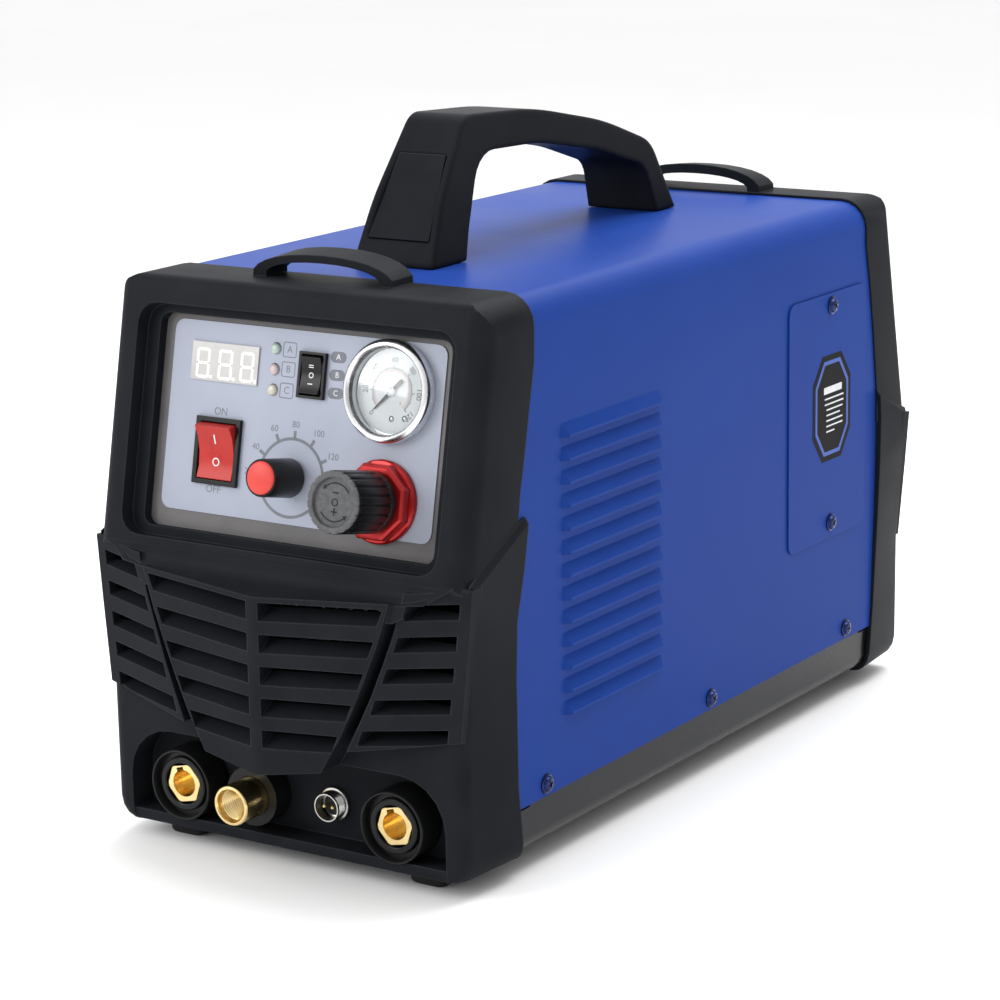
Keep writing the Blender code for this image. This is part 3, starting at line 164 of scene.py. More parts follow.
def finishes():
    plastic = dict(Specular_IOR_Level=0.22)
    matt = dict(Specular_IOR_Level=0.03)
    metal = dict(metallic=1.0, grain=2600.0, depth=0.02)
    return {
        # moulded black: edges lightened towards a pale tone, part wear and part painted highlight
        "moulded": surface("moulded_black", (0.0110, 0.0120, 0.0147), (0.0142, 0.0155, 0.0187), (0.42, 0.50),
                           grain=1900.0, bump=0.35, rounding=0.9, edge_wear_and_highlight=(0.045, 0.049, 0.058), **matt),
        "handle": surface("handle_black", (0.0100, 0.0108, 0.0130), (0.0130, 0.0140, 0.0166), (0.38, 0.46),
                          grain=1900.0, bump=0.35, rounding=4.0, **matt),
        "smooth_black": surface("smooth_black", (0.0055, 0.0058, 0.0065), (0.008, 0.0083, 0.009),
                                (0.26, 0.36), grain=900.0, bump=0.08, depth=0.03, **plastic),
        "knob_face": surface("knob_face", (0.072, 0.073, 0.077), (0.105, 0.106, 0.110), (0.5, 0.62),
                             mottle=420.0, grain=2600.0, bump=0.35, **plastic),
        "powder_blue": surface("powder_blue", (0.0125, 0.044, 0.240), (0.0140, 0.048, 0.256), (0.34, 0.40),
                               mottle=14.0, grain=1300.0, bump=0.2, depth=0.04, rounding=0.5,
                               Specular_IOR_Level=0.035),
        "black_metal": surface("black_metal", (0.005, 0.0052, 0.006), (0.008, 0.0082, 0.0095),
                               (0.22, 0.30), grain=1200.0, bump=0.12, depth=0.03, rounding=0.4, **plastic),
        # dark sheet colour: painted shade seen through the side louvres
        "painted_shade_black": surface("painted_shade_black", (0.003, 0.003, 0.004), (0.005, 0.005, 0.006), (0.7, 0.85),
                                mottle=60.0, Specular_IOR_Level=0.1),
        "rubber": surface("rubber", (0.010, 0.010, 0.011), (0.017, 0.016, 0.016), (0.62, 0.78),
                          mottle=120.0, grain=2200.0, bump=0.4, depth=0.06, **plastic),
        "grey_paint": surface("grey_paint", (0.115, 0.111, 0.114), (0.138, 0.133, 0.136), (0.40, 0.52),
                              mottle=60.0, grain=2600.0, bump=0.15, depth=0.03, **plastic),
        "film": surface("film", (0.330, 0.357, 0.435), (0.352, 0.380, 0.460), (0.40, 0.48),
                        mottle=25.0, grain=3800.0, bump=0.12, depth=0.02, **plastic),
        "ink": surface("ink", (0.085, 0.088, 0.10), (0.115, 0.118, 0.13), (0.45, 0.55), mottle=300.0,
                       grain=4000.0, bump=0.1, depth=0.01, **plastic),
        "white_ink": surface("white_ink", (0.62, 0.63, 0.64), (0.72, 0.73, 0.74), (0.45, 0.55),
                             mottle=300.0, grain=4000.0, bump=0.1, depth=0.01),
        "red_ink": surface("red_ink", (0.72, 0.24, 0.20), (0.80, 0.30, 0.25), (0.45, 0.55),
                           mottle=300.0, grain=4000.0, bump=0.1, depth=0.01),
        "display": surface("display_window", (0.42, 0.41, 0.40), (0.46, 0.45, 0.44), (0.12, 0.2),
                           mottle=90.0, grain=2500.0, bump=0.05, depth=0.02),
        "segment": surface("segment", (0.85, 0.84, 0.80), (0.92, 0.91, 0.88), (0.25, 0.35),
                           mottle=300.0, grain=3000.0, bump=0.05, depth=0.01),
        "red_rocker": surface("red_rocker", (0.40, 0.022, 0.018), (0.46, 0.028, 0.022), (0.26, 0.34),
                              mottle=80.0, grain=1600.0, bump=0.06, depth=0.03, rounding=0.4, **plastic),
        "red_metal": surface("red_metal", (0.34, 0.009, 0.010), (0.42, 0.014, 0.014), (0.16, 0.24),
                             metallic=0.55, mottle=90.0, grain=2400.0, bump=0.08, depth=0.02,
                             rounding=0.4),
        "red_cap": surface("red_cap", (0.58, 0.050, 0.042), (0.64, 0.064, 0.052), (0.30, 0.38),
                           mottle=90.0, grain=2000.0, bump=0.05, depth=0.02, **plastic),
        "chrome": surface("chrome", (0.70, 0.71, 0.73), (0.78, 0.79, 0.81), (0.07, 0.14),
                          mottle=120.0, bump=0.04, **metal),
        "polished": surface("polished", (0.80, 0.81, 0.83), (0.87, 0.88, 0.90), (0.20, 0.30),
                            mottle=120.0, bump=0.04, **metal),
        "steel": surface("steel", (0.42, 0.43, 0.45), (0.52, 0.53, 0.55), (0.24, 0.36),
                         mottle=90.0, bump=0.12, **metal),
        "nickel": surface("nickel", (0.55, 0.54, 0.51), (0.66, 0.65, 0.62), (0.18, 0.28),
                          mottle=90.0, bump=0.08, **metal),
        "brass": surface("brass", (0.74, 0.55, 0.24), (0.84, 0.66, 0.33), (0.16, 0.28),
                         mottle=110.0, bump=0.10, **metal),
        "white": surface("white_paint", (0.78, 0.80, 0.82), (0.84, 0.86, 0.88), (0.38, 0.46),
                         mottle=60.0, grain=2600.0, bump=0.06, depth=0.02),
        "blued": surface("blued_steel", (0.010, 0.018, 0.075), (0.018, 0.032, 0.115), (0.14, 0.24),
                         metallic=0.85, mottle=300.0, grain=3000.0, bump=0.12, depth=0.02),
        "green_board": surface("green_board", (0.012, 0.085, 0.035), (0.022, 0.12, 0.05), (0.3, 0.45),
                               mottle=160.0),
        "aluminium": surface("aluminium", (0.50, 0.51, 0.52), (0.60, 0.61, 0.62), (0.30, 0.42),
                             metallic=1.0, mottle=60.0, grain=1800.0),
        "copper": surface("copper", (0.38, 0.15, 0.06), (0.50, 0.22, 0.10), (0.28, 0.4), metallic=0.9,
                          mottle=200.0, grain=2500.0),
        "ferrite": surface("ferrite", (0.03, 0.03, 0.034), (0.055, 0.055, 0.06), (0.5, 0.65), mottle=90.0),
        "sleeve": surface("sleeve", (0.02, 0.03, 0.06), (0.03, 0.045, 0.085), (0.25, 0.4), mottle=90.0),
        "led_green": surface("led_green", (0.34, 0.42, 0.38), (0.40, 0.48, 0.44), (0.18, 0.26), mottle=300.0),
        "led_red": surface("led_red", (0.44, 0.35, 0.36), (0.50, 0.41, 0.42), (0.18, 0.26), mottle=300.0),
        "led_yellow": surface("led_yellow", (0.46, 0.44, 0.37), (0.52, 0.50, 0.43), (0.18, 0.26),
                              mottle=300.0),
        "panel_ink": surface("panel_grey_ink", (0.115, 0.125, 0.150), (0.150, 0.160, 0.190), (0.45, 0.55),
                             mottle=300.0, grain=4000.0, bump=0.1, depth=0.01),
        "label_black": surface("label_black", (0.008, 0.008, 0.009), (0.011, 0.011, 0.012), (0.35, 0.45),
                               mottle=60.0, grain=3000.0, bump=0.08, depth=0.02, **matt),
        "label_line": surface("label_line", (0.075, 0.125, 0.40), (0.09, 0.14, 0.44), (0.4, 0.5),
                              mottle=60.0, grain=3000.0, bump=0.08, depth=0.02, Specular_IOR_Level=0.05),
        "glass": clear_lens(),
    }


F = finishes()

# ---------------------------------------------------------------- frames of reference
# The panel's own axes: across, up the slope, and out of the face; the face of the metal is out = 0.
OUT = -Vector(JOINTS["current_knob_turn"]["axis"]).normalized()
UP = OUT.cross(X).normalized()
FILM_HEIGHT = 87.7 * MM
FILM_BACK = 0.05 * MM
low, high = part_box("panel_overlay")
FOOT = Vector((0.0, high.y - FILM_HEIGHT * UP.y + FILM_BACK * OUT.y, low.z + FILM_BACK * OUT.z))
PANEL = Matrix((X, UP, OUT)).transposed().to_4x4()
PANEL.translation = FOOT


def spot(point):
    """Across and up the panel in mm, of a point in the frame."""
    local = PANEL.inverted() @ Vector(point)
    return local.x / MM, local.y / MM


def middle(name):
    low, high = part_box(name)
    return (low + high) / 2


def on_panel(across, up, out=0.0):
    return PANEL @ Matrix.Translation(Vector((across, up, out)) * MM)


def facing_front(x, z, seat_y):
    """Local Z points to the machine's front; positions in metres."""
    made = Matrix((X, Vector((0, 0, 1)), Vector((0, -1, 0)))).transposed().to_4x4()
    made.translation = Vector((x, seat_y, z))
    return made


# ---------------------------------------------------------------- mesh building
def piece(name, mesh, material, body="machine", replaces=(), place=None, sharp=35):
    """Link a made mesh (in mm in its own axes) as a piece of the machine."""
    if place is not None:
        mesh.transform(Matrix.Scale(MM, 4))
        mesh.transform(place)
    mesh.materials.append(F[material])
    mesh.shade_smooth()
    mesh.set_sharp_from_angle(angle=math.radians(sharp))
    made = bpy.data.objects.new(name, mesh)
    bpy.context.scene.collection.objects.link(made)
    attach(made, body)
    if replaces:
        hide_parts(*replaces)
    return made


def to_mesh(bm, name="mesh"):
    bmesh.ops.recalc_face_normals(bm, faces=bm.faces)
    mesh = bpy.data.meshes.new(name)
    bm.to_mesh(mesh)
    bm.free()
    return mesh


def lathe(profile, count=72, bm=None):
    """Turn a (radius, height) outline round the Z axis; an outline that leaves the axis closes itself."""
    own = bm is None
    bm = bm or bmesh.new()
    rings = []
    for radius, height in profile:
        if radius < 1e-6:
            rings.append([bm.verts.new((0.0, 0.0, height))])
        else:
            rings.append([bm.verts.new((radius * math.cos(2 * math.pi * k / count),
                                        radius * math.sin(2 * math.pi * k / count), height))
                          for k in range(count)])
    pairs = list(zip(rings, rings[1:]))
    if profile[0][0] > 1e-6:
        pairs.append((rings[-1], rings[0]))
    for lower, upper in pairs:
        for k in range(count):
            after = (k + 1) % count
            corners = [lower[k % len(lower)], lower[after % len(lower)],
                       upper[after % len(upper)], upper[k % len(upper)]]
            corners = list(dict.fromkeys(corners))
            if len(corners) > 2:
                bm.faces.new(corners)
    return to_mesh(bm) if own else bm


def prism(sections, bm=None):
    """Skin between outlines of equal length, each a list of 3-D points, with both ends closed."""
    own = bm is None
    bm = bm or bmesh.new()
    rows = [[bm.verts.new(p) for p in section] for section in sections]
    count = len(rows[0])
    for lower, upper in zip(rows, rows[1:]):
        for k in range(count):
            bm.faces.new((lower[k], lower[(k + 1) % count], upper[(k + 1) % count], upper[k]))
    bm.faces.new(rows[0][::-1])
    bm.faces.new(rows[-1])
    return to_mesh(bm) if own else bm


def stroke(points, width, closed=False):
    """Quads of a drawn line in the plane, mitred at its corners."""
    quads = []
    count = len(points)
    offsets = []
    for k, (x, y) in enumerate(points):
        before = points[k - 1] if closed or k else None
        after = points[(k + 1) % count] if closed or k < count - 1 else None
        ways = []
        for a, b in ((before, (x, y)), ((x, y), after)):
            if a is not None and b is not None:
                ways.append(Vector((b[0] - a[0], b[1] - a[1])).normalized())
        normals = [Vector((-w.y, w.x)) for w in ways]
        normal = sum(normals, Vector((0.0, 0.0))).normalized()
        reach = width / 2 / max(0.4, normal.dot(normals[0]))
        offsets.append(((x + normal.x * reach, y + normal.y * reach),
                        (x - normal.x * reach, y - normal.y * reach)))
    for k in range(count if closed else count - 1):
        a, b = offsets[k], offsets[(k + 1) % count]
        quads.append([a[0], b[0], b[1], a[1]])
    return quads


def arc(cx, cy, radius, start, stop, steps):
    return [(cx + radius * math.cos(math.radians(start + (stop - start) * k / steps)),
             cy + radius * math.sin(math.radians(start + (stop - start) * k / steps)))
            for k in range(steps + 1)]


def ring_stroke(cx, cy, radius, width, steps=72):
    return stroke(arc(cx, cy, radius, 0, 360, steps)[:-1], width, True)


def round_box(cx, cy, half_x, half_y, radius, steps=5):
    points = []
    for sx, sy, start in ((1, 1, 0), (-1, 1, 90), (-1, -1, 180), (1, -1, 270)):
        points += arc(cx + sx * (half_x - radius), cy + sy * (half_y - radius), radius, start, start + 90,
                      steps)
    return points


def lettering(body, size, cx, cy, turn=0.0):
    """Triangles of a short generic number or word, centred, in mm."""
    curve = bpy.data.curves.new("lettering", "FONT")
    curve.body = body
    curve.size = size
    curve.align_x = "CENTER"
    curve.align_y = "CENTER"
    curve.resolution_u = 3
    holder = bpy.data.objects.new("lettering", curve)
    mesh = bpy.data.meshes.new_from_object(holder)
    turned = Matrix.Rotation(turn, 2)
    faces = []
    for face in mesh.polygons:
        corners = [turned @ mesh.vertices[i].co.to_2d() for i in face.vertices]
        faces.append([(cx + p.x, cy + p.y) for p in corners])
    bpy.data.objects.remove(holder)
    bpy.data.curves.remove(curve)
    bpy.data.meshes.remove(mesh)
    return faces


TREES = {}


def printed(name, outlines, material, target, place, body="machine", lift=0.05, sink=0.05, slot=None):
    """Thin raised print whose flat outlines (mm, in place's axes) follow a CAD node's surface."""
    if target not in TREES:
        data = frame["nodes"][target].data
        TREES[target] = BVHTree.FromPolygons([v.co for v in data.vertices],
                                             [p.vertices for p in data.polygons])
    out = place.to_3x3() @ Vector((0, 0, 1))
    bm = bmesh.new()
    seen = {}
    for outline in outlines:
        corners = []
        for x, y in outline:
            key = (round(x, 4), round(y, 4))
            if key not in seen:
                seen[key] = bm.verts.new((x, y, 0.0))
            corners.append(seen[key])
        corners = list(dict.fromkeys(corners))
        if len(corners) > 2:
            try:
                bm.faces.new(corners)
            except ValueError:
                pass
    bmesh.ops.triangulate(bm, faces=[f for f in bm.faces if len(f.verts) > 4])
    for vert in bm.verts:
        start = place @ (vert.co * MM)
        hit = TREES[target].ray_cast(start + out * 60 * MM, -out)[0] or start
        vert.co = hit + out * lift * MM
    top = list(bm.faces)
    low = bmesh.ops.extrude_face_region(bm, geom=top, use_keep_orig=True)["geom"]
    for vert in (v for v in low if isinstance(v, bmesh.types.BMVert)):
        vert.co -= out * (lift + sink) * MM
    return piece(name, to_mesh(bm), material, body)


# ---------------------------------------------------------------- CAD nodes that stay
CRISP_ANGLE = math.radians(30)
BEVEL_ANGLE = math.radians(32)


def dress(name, material, width):
    """New finish for a CAD node: joined faces with crisp edges, or real bevels of a width in mm."""
    made = frame["nodes"][name]
    made.data.materials.clear()
    made.data.materials.append(F[material])
    if "custom_normal" in made.data.attributes:
        made.data.attributes.remove(made.data.attributes["custom_normal"])
    made.data.shade_smooth()
    weld = made.modifiers.new("weld", "WELD")
    weld.merge_threshold = 2e-6
    if width:
        flat = made.modifiers.new("flat", "DECIMATE")
        flat.decimate_type = "DISSOLVE"
        flat.angle_limit = math.radians(0.6)
        bevel = made.modifiers.new("bevel", "BEVEL")
        bevel.width = width * MM
        bevel.segments = 2
        bevel.limit_method = "ANGLE"
        bevel.angle_limit = BEVEL_ANGLE
        bevel.use_clamp_overlap = False
        bevel.harden_normals = True
        bevel.miter_outer = "MITER_ARC"
    else:
        split = made.modifiers.new("crisp", "EDGE_SPLIT")
        split.split_angle = CRISP_ANGLE


# ---------------------------------------------------------------- panel items
GAUGE = spot(middle("gauge_lens"))
KNOB = spot(JOINTS["current_knob_turn"]["pos_m"])
REGULATOR = spot(JOINTS["regulator_turn"]["pos_m"])
MODE = spot(JOINTS["mode_rocker_tilt"]["pos_m"])
POWER = spot(JOINTS["power_rocker_tilt"]["pos_m"])
LAMP_RADIUS = 2.5
LAMP_LEAN = 0.25  # how far a lamp's front edge rises above its rim through the panel's lean
NEEDLE_REST = math.radians(225)
DIAL_START = 225  # degrees; the gauge scale runs clockwise over 270 degrees


def gauge():
    place = on_panel(*GAUGE)
    piece("gauge_bezel", lathe([(0, -26), (19.9, -26), (19.9, 0.6), (23.3, 0.6), (23.3, 4.2), (23.15, 5.1),
                                (22.7, 5.9), (22.0, 6.5), (21.3, 6.85), (20.6, 7.0), (20.1, 6.7),
                                (19.7, 6.1), (19.2, 5.0), (19.2, -0.8), (0.7, -0.8), (0.7, 1.8), (0, 1.9)], 120),
          "polished", replaces=("gauge_case",), place=place)
    piece("gauge_glass", lathe([(0, 4.1), (9, 3.95), (14, 3.65), (18.6, 2.9), (18.8, 2.9), (18.8, 3.2),
                                (14, 3.95), (9, 4.27), (0, 4.4)], 96),
          "glass", replaces=("gauge_lens",), place=place)
    turned = place @ Matrix.Rotation(NEEDLE_REST, 4, "Z")
    blade = [(-7.6, 0.95), (-7.6, -0.95), (-2.4, -0.75), (0, -0.8), (12.4, -0.16), (12.4, 0.16), (0, 0.8),
             (-2.4, 0.75)]
    piece("gauge_pointer", prism([[(x, y, height) for x, y in blade] for height in (0.75, 1.2)]), "ink",
          "gauge_needle", ("gauge_needle",), place=turned)
    piece("gauge_hub", lathe([(0.8, 0.7), (2.1, 0.7), (2.1, 1.35), (1.6, 1.7), (0.8, 1.7)], 32), "white",
          "gauge_needle", place=turned)
    dark, red = [], []
    for step in range(61):
        angle = math.radians(DIAL_START - 4.5 * step)
        reach = 1.9 if step % 10 == 0 else 1.4 if step % 5 == 0 else 0.9
        dark += stroke([(9.9 * math.cos(angle), 9.9 * math.sin(angle)),
                        ((9.9 + reach) * math.cos(angle), (9.9 + reach) * math.sin(angle))], 0.36)
        if step % 10 == 0:
            dark += lettering(str(2 * step), 3.6, 14.2 * math.cos(angle), 14.2 * math.sin(angle),
                              angle - math.pi / 2)
    red += stroke(arc(0, 0, 9.4, DIAL_START, DIAL_START - 270, 72), 0.18)
    for step in range(33):
        angle = math.radians(DIAL_START - 270 / 32 * step)
        reach = 1.3 if step % 8 == 0 else 0.7
        red += stroke([(9.4 * math.cos(angle), 9.4 * math.sin(angle)),
                       ((9.4 - reach) * math.cos(angle), (9.4 - reach) * math.sin(angle))], 0.18)
        if step % 8 == 0:
            red += lettering(str(step // 4), 2.0, 6.8 * math.cos(angle), 6.8 * math.sin(angle))
    printed("gauge_scale", dark, "ink", "gauge_dial", place, lift=0.04)
    printed("gauge_inner_scale", red, "red_ink", "gauge_dial", place, lift=0.04)
    for name, across, up in (("left", 0.9, -12.0), ("right", 7.8, -11.3)):
        piece("gauge_dial_screw_" + name,
              lathe([(0, -0.1), (1.35, -0.1), (1.35, 0.12), (1.0, 0.42), (0.4, 0.52), (0, 0.52)], 32),
              "steel", place=on_panel(GAUGE[0] + across, GAUGE[1] + up))


def current_control():
    place = on_panel(*KNOB)
    piece("current_knob_body", lathe([(0, 15.2), (3.06, 15.2), (3.06, 5.6), (6.4, 5.6), (6.4, 1.9),
                                      (8.85, 1.9), (9.0, 2.3), (8.6, 22.2), (8.35, 22.8), (7.9, 23.0),
                                      (7.6, 22.8), (7.6, 21.4), (0, 21.4)], 96),
          "smooth_black", "current_knob", ("current_knob",), place=place)
    piece("current_knob_face", lathe([(0, 21.5), (7.5, 21.5), (7.5, 23.0), (7.2, 23.4), (6.4, 23.7),
                                      (0, 24.05)], 96),
          "red_cap", "current_knob", ("current_knob_cap",), place=place)


def regulator():
    """Fluted lift-and-turn knob with a worn end face and turning marks."""
    flutes, count = 20, 320
    outline = [(12.0, 15.5, 0), (12.0, 9.5, 0), (13.6, 9.5, 0), (14.0, 9.9, 0), (14.0, 12.6, 0),
               (13.7, 12.9, 0.2), (13.7, 13.2, 0.6), (14.0, 13.6, 0.65), (14.0, 36.9, 0.65),
               (13.8, 37.6, 0.6), (13.3, 38.0, 0.35), (11.5, 38.0, 0), (11.1, 37.8, 0), (10.8, 36.4, 0)]
    bm = bmesh.new()
    rings = []
    for radius, height, depth in outline:
        ring = []
        for k in range(count):
            angle = 2 * math.pi * k / count
            wave = max(0.0, math.cos(flutes * angle)) ** 4
            reach = radius - depth * wave
            ring.append(bm.verts.new((reach * math.cos(angle), reach * math.sin(angle), height)))
        rings.append(ring)
    for lower, upper in zip(rings, rings[1:]):
        for k in range(count):
            bm.faces.new((lower[k], lower[(k + 1) % count], upper[(k + 1) % count], upper[k]))
    bm.faces.new(rings[-1])
    bore = [bm.verts.new((3.06 * math.cos(2 * math.pi * k / count), 3.06 * math.sin(2 * math.pi * k / count), h))
            for h in (15.5, 35.2) for k in range(count)]
    for k in range(count):
        after = (k + 1) % count
        bm.faces.new((rings[0][after], rings[0][k], bore[k], bore[after]))
        bm.faces.new((bore[k], bore[after], bore[count + after], bore[count + k]))
    bm.faces.new(bore[count:])
    place = on_panel(*REGULATOR)
    made = piece("regulator_grip", to_mesh(bm), "smooth_black", "regulator_knob", ("regulator_knob",),
                 place=place, sharp=40)
    made.data.materials.append(F["knob_face"])
    for face in made.data.polygons:
        centre = place.inverted() @ face.center
        if centre.z > 36.3 * MM and centre.to_2d().length < 13.6 * MM:
            face.material_index = 1
    TREES["regulator_grip"] = BVHTree.FromPolygons([v.co for v in made.data.vertices],
                                                   [p.vertices for p in made.data.polygons])
    marks = []
    for start in (35, 215):
        marks += stroke(arc(0, 0, 8.4, start, start + 95, 24), 0.6)
        end = math.radians(start + 95)
        tip = Vector((8.4 * math.cos(end), 8.4 * math.sin(end)))
        along = Vector((-math.sin(end), math.cos(end)))
        away = Vector((math.cos(end), math.sin(end)))
        marks += [[tuple(tip + away * 1.1), tuple(tip + along * 1.9), tuple(tip - away * 1.1)]]
    marks += stroke([(-1.6, 4.2), (1.6, 4.2)], 0.6)
    marks += stroke([(-1.6, -4.2), (1.6, -4.2)], 0.6) + stroke([(0, -5.8), (0, -2.6)], 0.6)
    marks += ring_stroke(0, 0, 1.5, 0.5, 32)
    printed("regulator_marks", marks, "smooth_black", "regulator_grip", place, "regulator_knob", lift=0.12,
            slot="regulator_knob")


def regulator_ring():
    """Eight-sided red ring nut with a round flange."""
    bm = bmesh.new()
    count, rows = 96, []
    for reach, height, eight in ((11.4, 0.6, 0), (18.9, 0.6, 0), (18.9, 2.4, 0), (18.2, 3.2, 0),
                                 (18.1, 3.4, 1), (18.1, 7.2, 1), (17.5, 8.0, 1), (16.3, 8.6, 1),
                                 (12.0, 8.6, 0), (11.4, 8.2, 0)):
        row = []
        for k in range(count):
            angle = 2 * math.pi * k / count
            from_flat = (angle + math.pi / 8) % (math.pi / 4) - math.pi / 8
            radius = reach * math.cos(math.pi / 8) / math.cos(from_flat) if eight else reach
            row.append(bm.verts.new((radius * math.cos(angle), radius * math.sin(angle), height)))
        rows.append(row)
    for lower, upper in zip(rows, rows[1:] + rows[:1]):
        for k in range(count):
            bm.faces.new((lower[k], lower[(k + 1) % count], upper[(k + 1) % count], upper[k]))
    piece("regulator_ring_nut", to_mesh(bm), "red_metal", replaces=("regulator_nut",),
          place=on_panel(*REGULATOR), sharp=24)


def status_lamps():
    """Milky domes, centred below the highest point of each CAD lamp."""
    for name, tone in (("status_led_green", "led_green"), ("status_led_red", "led_red"),
                       ("status_led_yellow", "led_yellow")):
        low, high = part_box(name)
        across = (low.x + high.x) / 2 / MM
        up = (high.z - FOOT.z) / UP.z / MM - LAMP_RADIUS - LAMP_LEAN
        piece(name + "_dome", lathe([(0, -1.0), (LAMP_RADIUS, -1.0), (LAMP_RADIUS, 0.9), (2.4, 1.35),
                                     (2.0, 1.8), (1.35, 2.05), (0.6, 2.18), (0, 2.2)], 48),
              tone, replaces=(name,), place=on_panel(across, up))


# ---------------------------------------------------------------- panel prints
def digit(left, right, low, high, width=1.25):
    """The seven strokes of a lit figure eight, separate as on a display."""
    gap = width * 0.22
    half = (low + high) / 2
    strokes = []
    for y in (low, half, high):
        inset = width / 2 if y != half else 0
        level = y + (inset if y == low else -inset if y == high else 0)
        strokes += stroke([(left + gap + width / 2, level), (right - gap - width / 2, level)], width)
    for x in (left + width / 2, right - width / 2):
        for a, b in ((low, half), (half, high)):
            strokes += stroke([(x, a + gap + width / 4), (x, b - gap - width / 4)], width)
    return strokes


def panel_prints():
    film = dict(target="panel_overlay", place=on_panel(0, 0))
    marks = ring_stroke(*KNOB, 17.7, 1.4, 120)
    for angle, label in ((179, "20"), (150, "40"), (118, "60"), (89, "80"), (58, "100"), (28, "120"),
                         (-2, "140")):
        way = Vector((math.cos(math.radians(angle)), math.sin(math.radians(angle))))
        centre = Vector(KNOB)
        marks += stroke([tuple(centre + way * 18.1), tuple(centre + way * 21.4)], 1.5)
        marks += lettering(label, 4.2, *(centre + way * (25.2 if len(label) > 2 else 24.2)))
    marks += lettering("ON", 4.9, -45.3, 47.0) + lettering("OFF", 4.9, -46.0, 11.2)
    for up, label in ((78.5, "A"), (69.6, "B"), (60.0, "C")):
        marks += stroke(round_box(-9.5, up, 3.6, 3.3, 0.9), 0.45, True)
        marks += lettering(label, 4.6, -9.5, up)
    printed("panel_marks", marks, "panel_ink", **film)
    pills, labels = [], []
    for up, label in ((77.5, "A"), (69.4, "B"), (61.3, "C")):
        pills += [round_box(17.6, up, 4.3, 2.5, 2.45, 8)]
        labels += lettering(label, 3.7, 17.6, up)
    printed("mode_pills", pills, "panel_ink", **film)
    printed("mode_pill_marks", labels, "white_ink", lift=0.10, **film)
    digits = []
    for left, right in ((-61.2, -53.6), (-48.6, -40.6), (-36.0, -28.4)):
        digits += digit(left, right, 61.6, 75.4)
        digits += [round_box(right + 1.15, 62.4, 0.7, 0.75, 0.3, 3)]
    printed("display_digits", digits, "segment", "display_module", on_panel(0, 0))
    marks = stroke([(0, 3.4), (0, 7.6)], 0.75) + ring_stroke(0, -4.9, 1.7, 0.6, 40)
    printed("power_rocker_marks", marks, "white_ink", "power_rocker", on_panel(*POWER), "power_rocker")
    marks = (stroke([(-1.3, 4.5), (1.3, 4.5)], 0.4) + stroke([(-1.3, 3.6), (1.3, 3.6)], 0.4)
             + ring_stroke(0, 0, 1.1, 0.42, 32) + stroke([(-1.3, -3.9), (1.3, -3.9)], 0.45))
    printed("mode_rocker_marks", marks, "white_ink", "mode_rocker", on_panel(*MODE), "mode_rocker")


# ---------------------------------------------------------------- sockets on the recessed front
def threads(outer, inner, start, stop, pitch):
    """Crests and roots of a thread along a lathe outline."""
    points, height = [], start
    while height + pitch <= stop + 1e-6:
        points += [(inner, height), (outer, height + pitch * 0.35), (outer, height + pitch * 0.5),
                   (inner, height + pitch * 0.85)]
        height += pitch
    return points


def sockets():
    for side in ("left", "right"):
        name = "output_socket_%s_insulator" % side
        low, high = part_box(name)
        place = facing_front((low.x + high.x) / 2, (low.z + high.z) / 2, low.y + 16 * MM)
        piece(name + "_ring", lathe([(9.9, -12), (13.3, -12), (13.3, 0.3), (17.1, 0.3), (17.1, 15.0),
                                     (16.9, 15.6), (16.5, 15.95), (16.0, 16.0), (15.6, 15.5), (15.2, 11.5),
                                     (13.2, 11.5), (12.8, 13.6), (12.3, 14.0), (10.4, 14.0), (9.9, 13.6)],
                                    96), "smooth_black", replaces=(name,), place=place)
    low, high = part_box("torch_connector")
    x, z = (low.x + high.x) / 2, (low.z + high.z) / 2
    place = facing_front(x, z, low.y + 28 * MM)
    inner = [(8.0, 28.0), (7.3, 26.8)] + threads(7.9, 7.3, 4.0, 26.0, 1.5)[::-1] + [(7.3, 2.0), (0, 2.0)]
    piece("torch_connector_tube", lathe([(0, -30), (6.5, -30), (6.5, -9), (9.5, -8), (9.5, 27.1),
                                         (9.3, 27.7), (8.9, 28.0)] + inner, 96),
          "brass", replaces=("torch_connector",), place=place)
    low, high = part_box("control_socket_shell")
    x, z = (low.x + high.x) / 2, (low.z + high.z) / 2
    place = facing_front(x, z, low.y + 8 * MM)
    piece("control_socket_rim", lathe([(0, -14), (6, -14), (6, 0.3), (8.2, 0.3), (8.2, 1.3), (7.8, 1.9),
                                       (6.7, 2.2)] + threads(7.0, 6.7, 2.4, 7.6, 0.9) +
                                      [(6.8, 7.7), (6.6, 8.0), (6.1, 8.0), (6.0, 7.8), (6, 1), (0, 1)], 72),
          "nickel", replaces=("control_socket_shell",), place=place)
    piece("control_socket_key", prism([[(-0.8, 5.4, h), (0.8, 5.4, h), (0.8, 6.1, h), (-0.8, 6.1, h)]
                                       for h in (0.8, 6.0)]), "nickel", place=place)
    piece("control_socket_core", lathe([(0, 1.0), (5, 1.0), (5, 2.4), (4.8, 2.6), (0, 2.6)], 48),
          "smooth_black", replaces=("control_socket_insert",), place=place)
    for label, across in (("left", -2.3), ("right", 2.3)):
        piece("control_socket_pin_" + label,
              lathe([(0, 2.0), (0.8, 2.0), (0.8, 6.4), (0.5, 6.8), (0, 6.85)], 24), "brass",
              place=place @ Matrix.Translation((across * MM, 0, 0)))


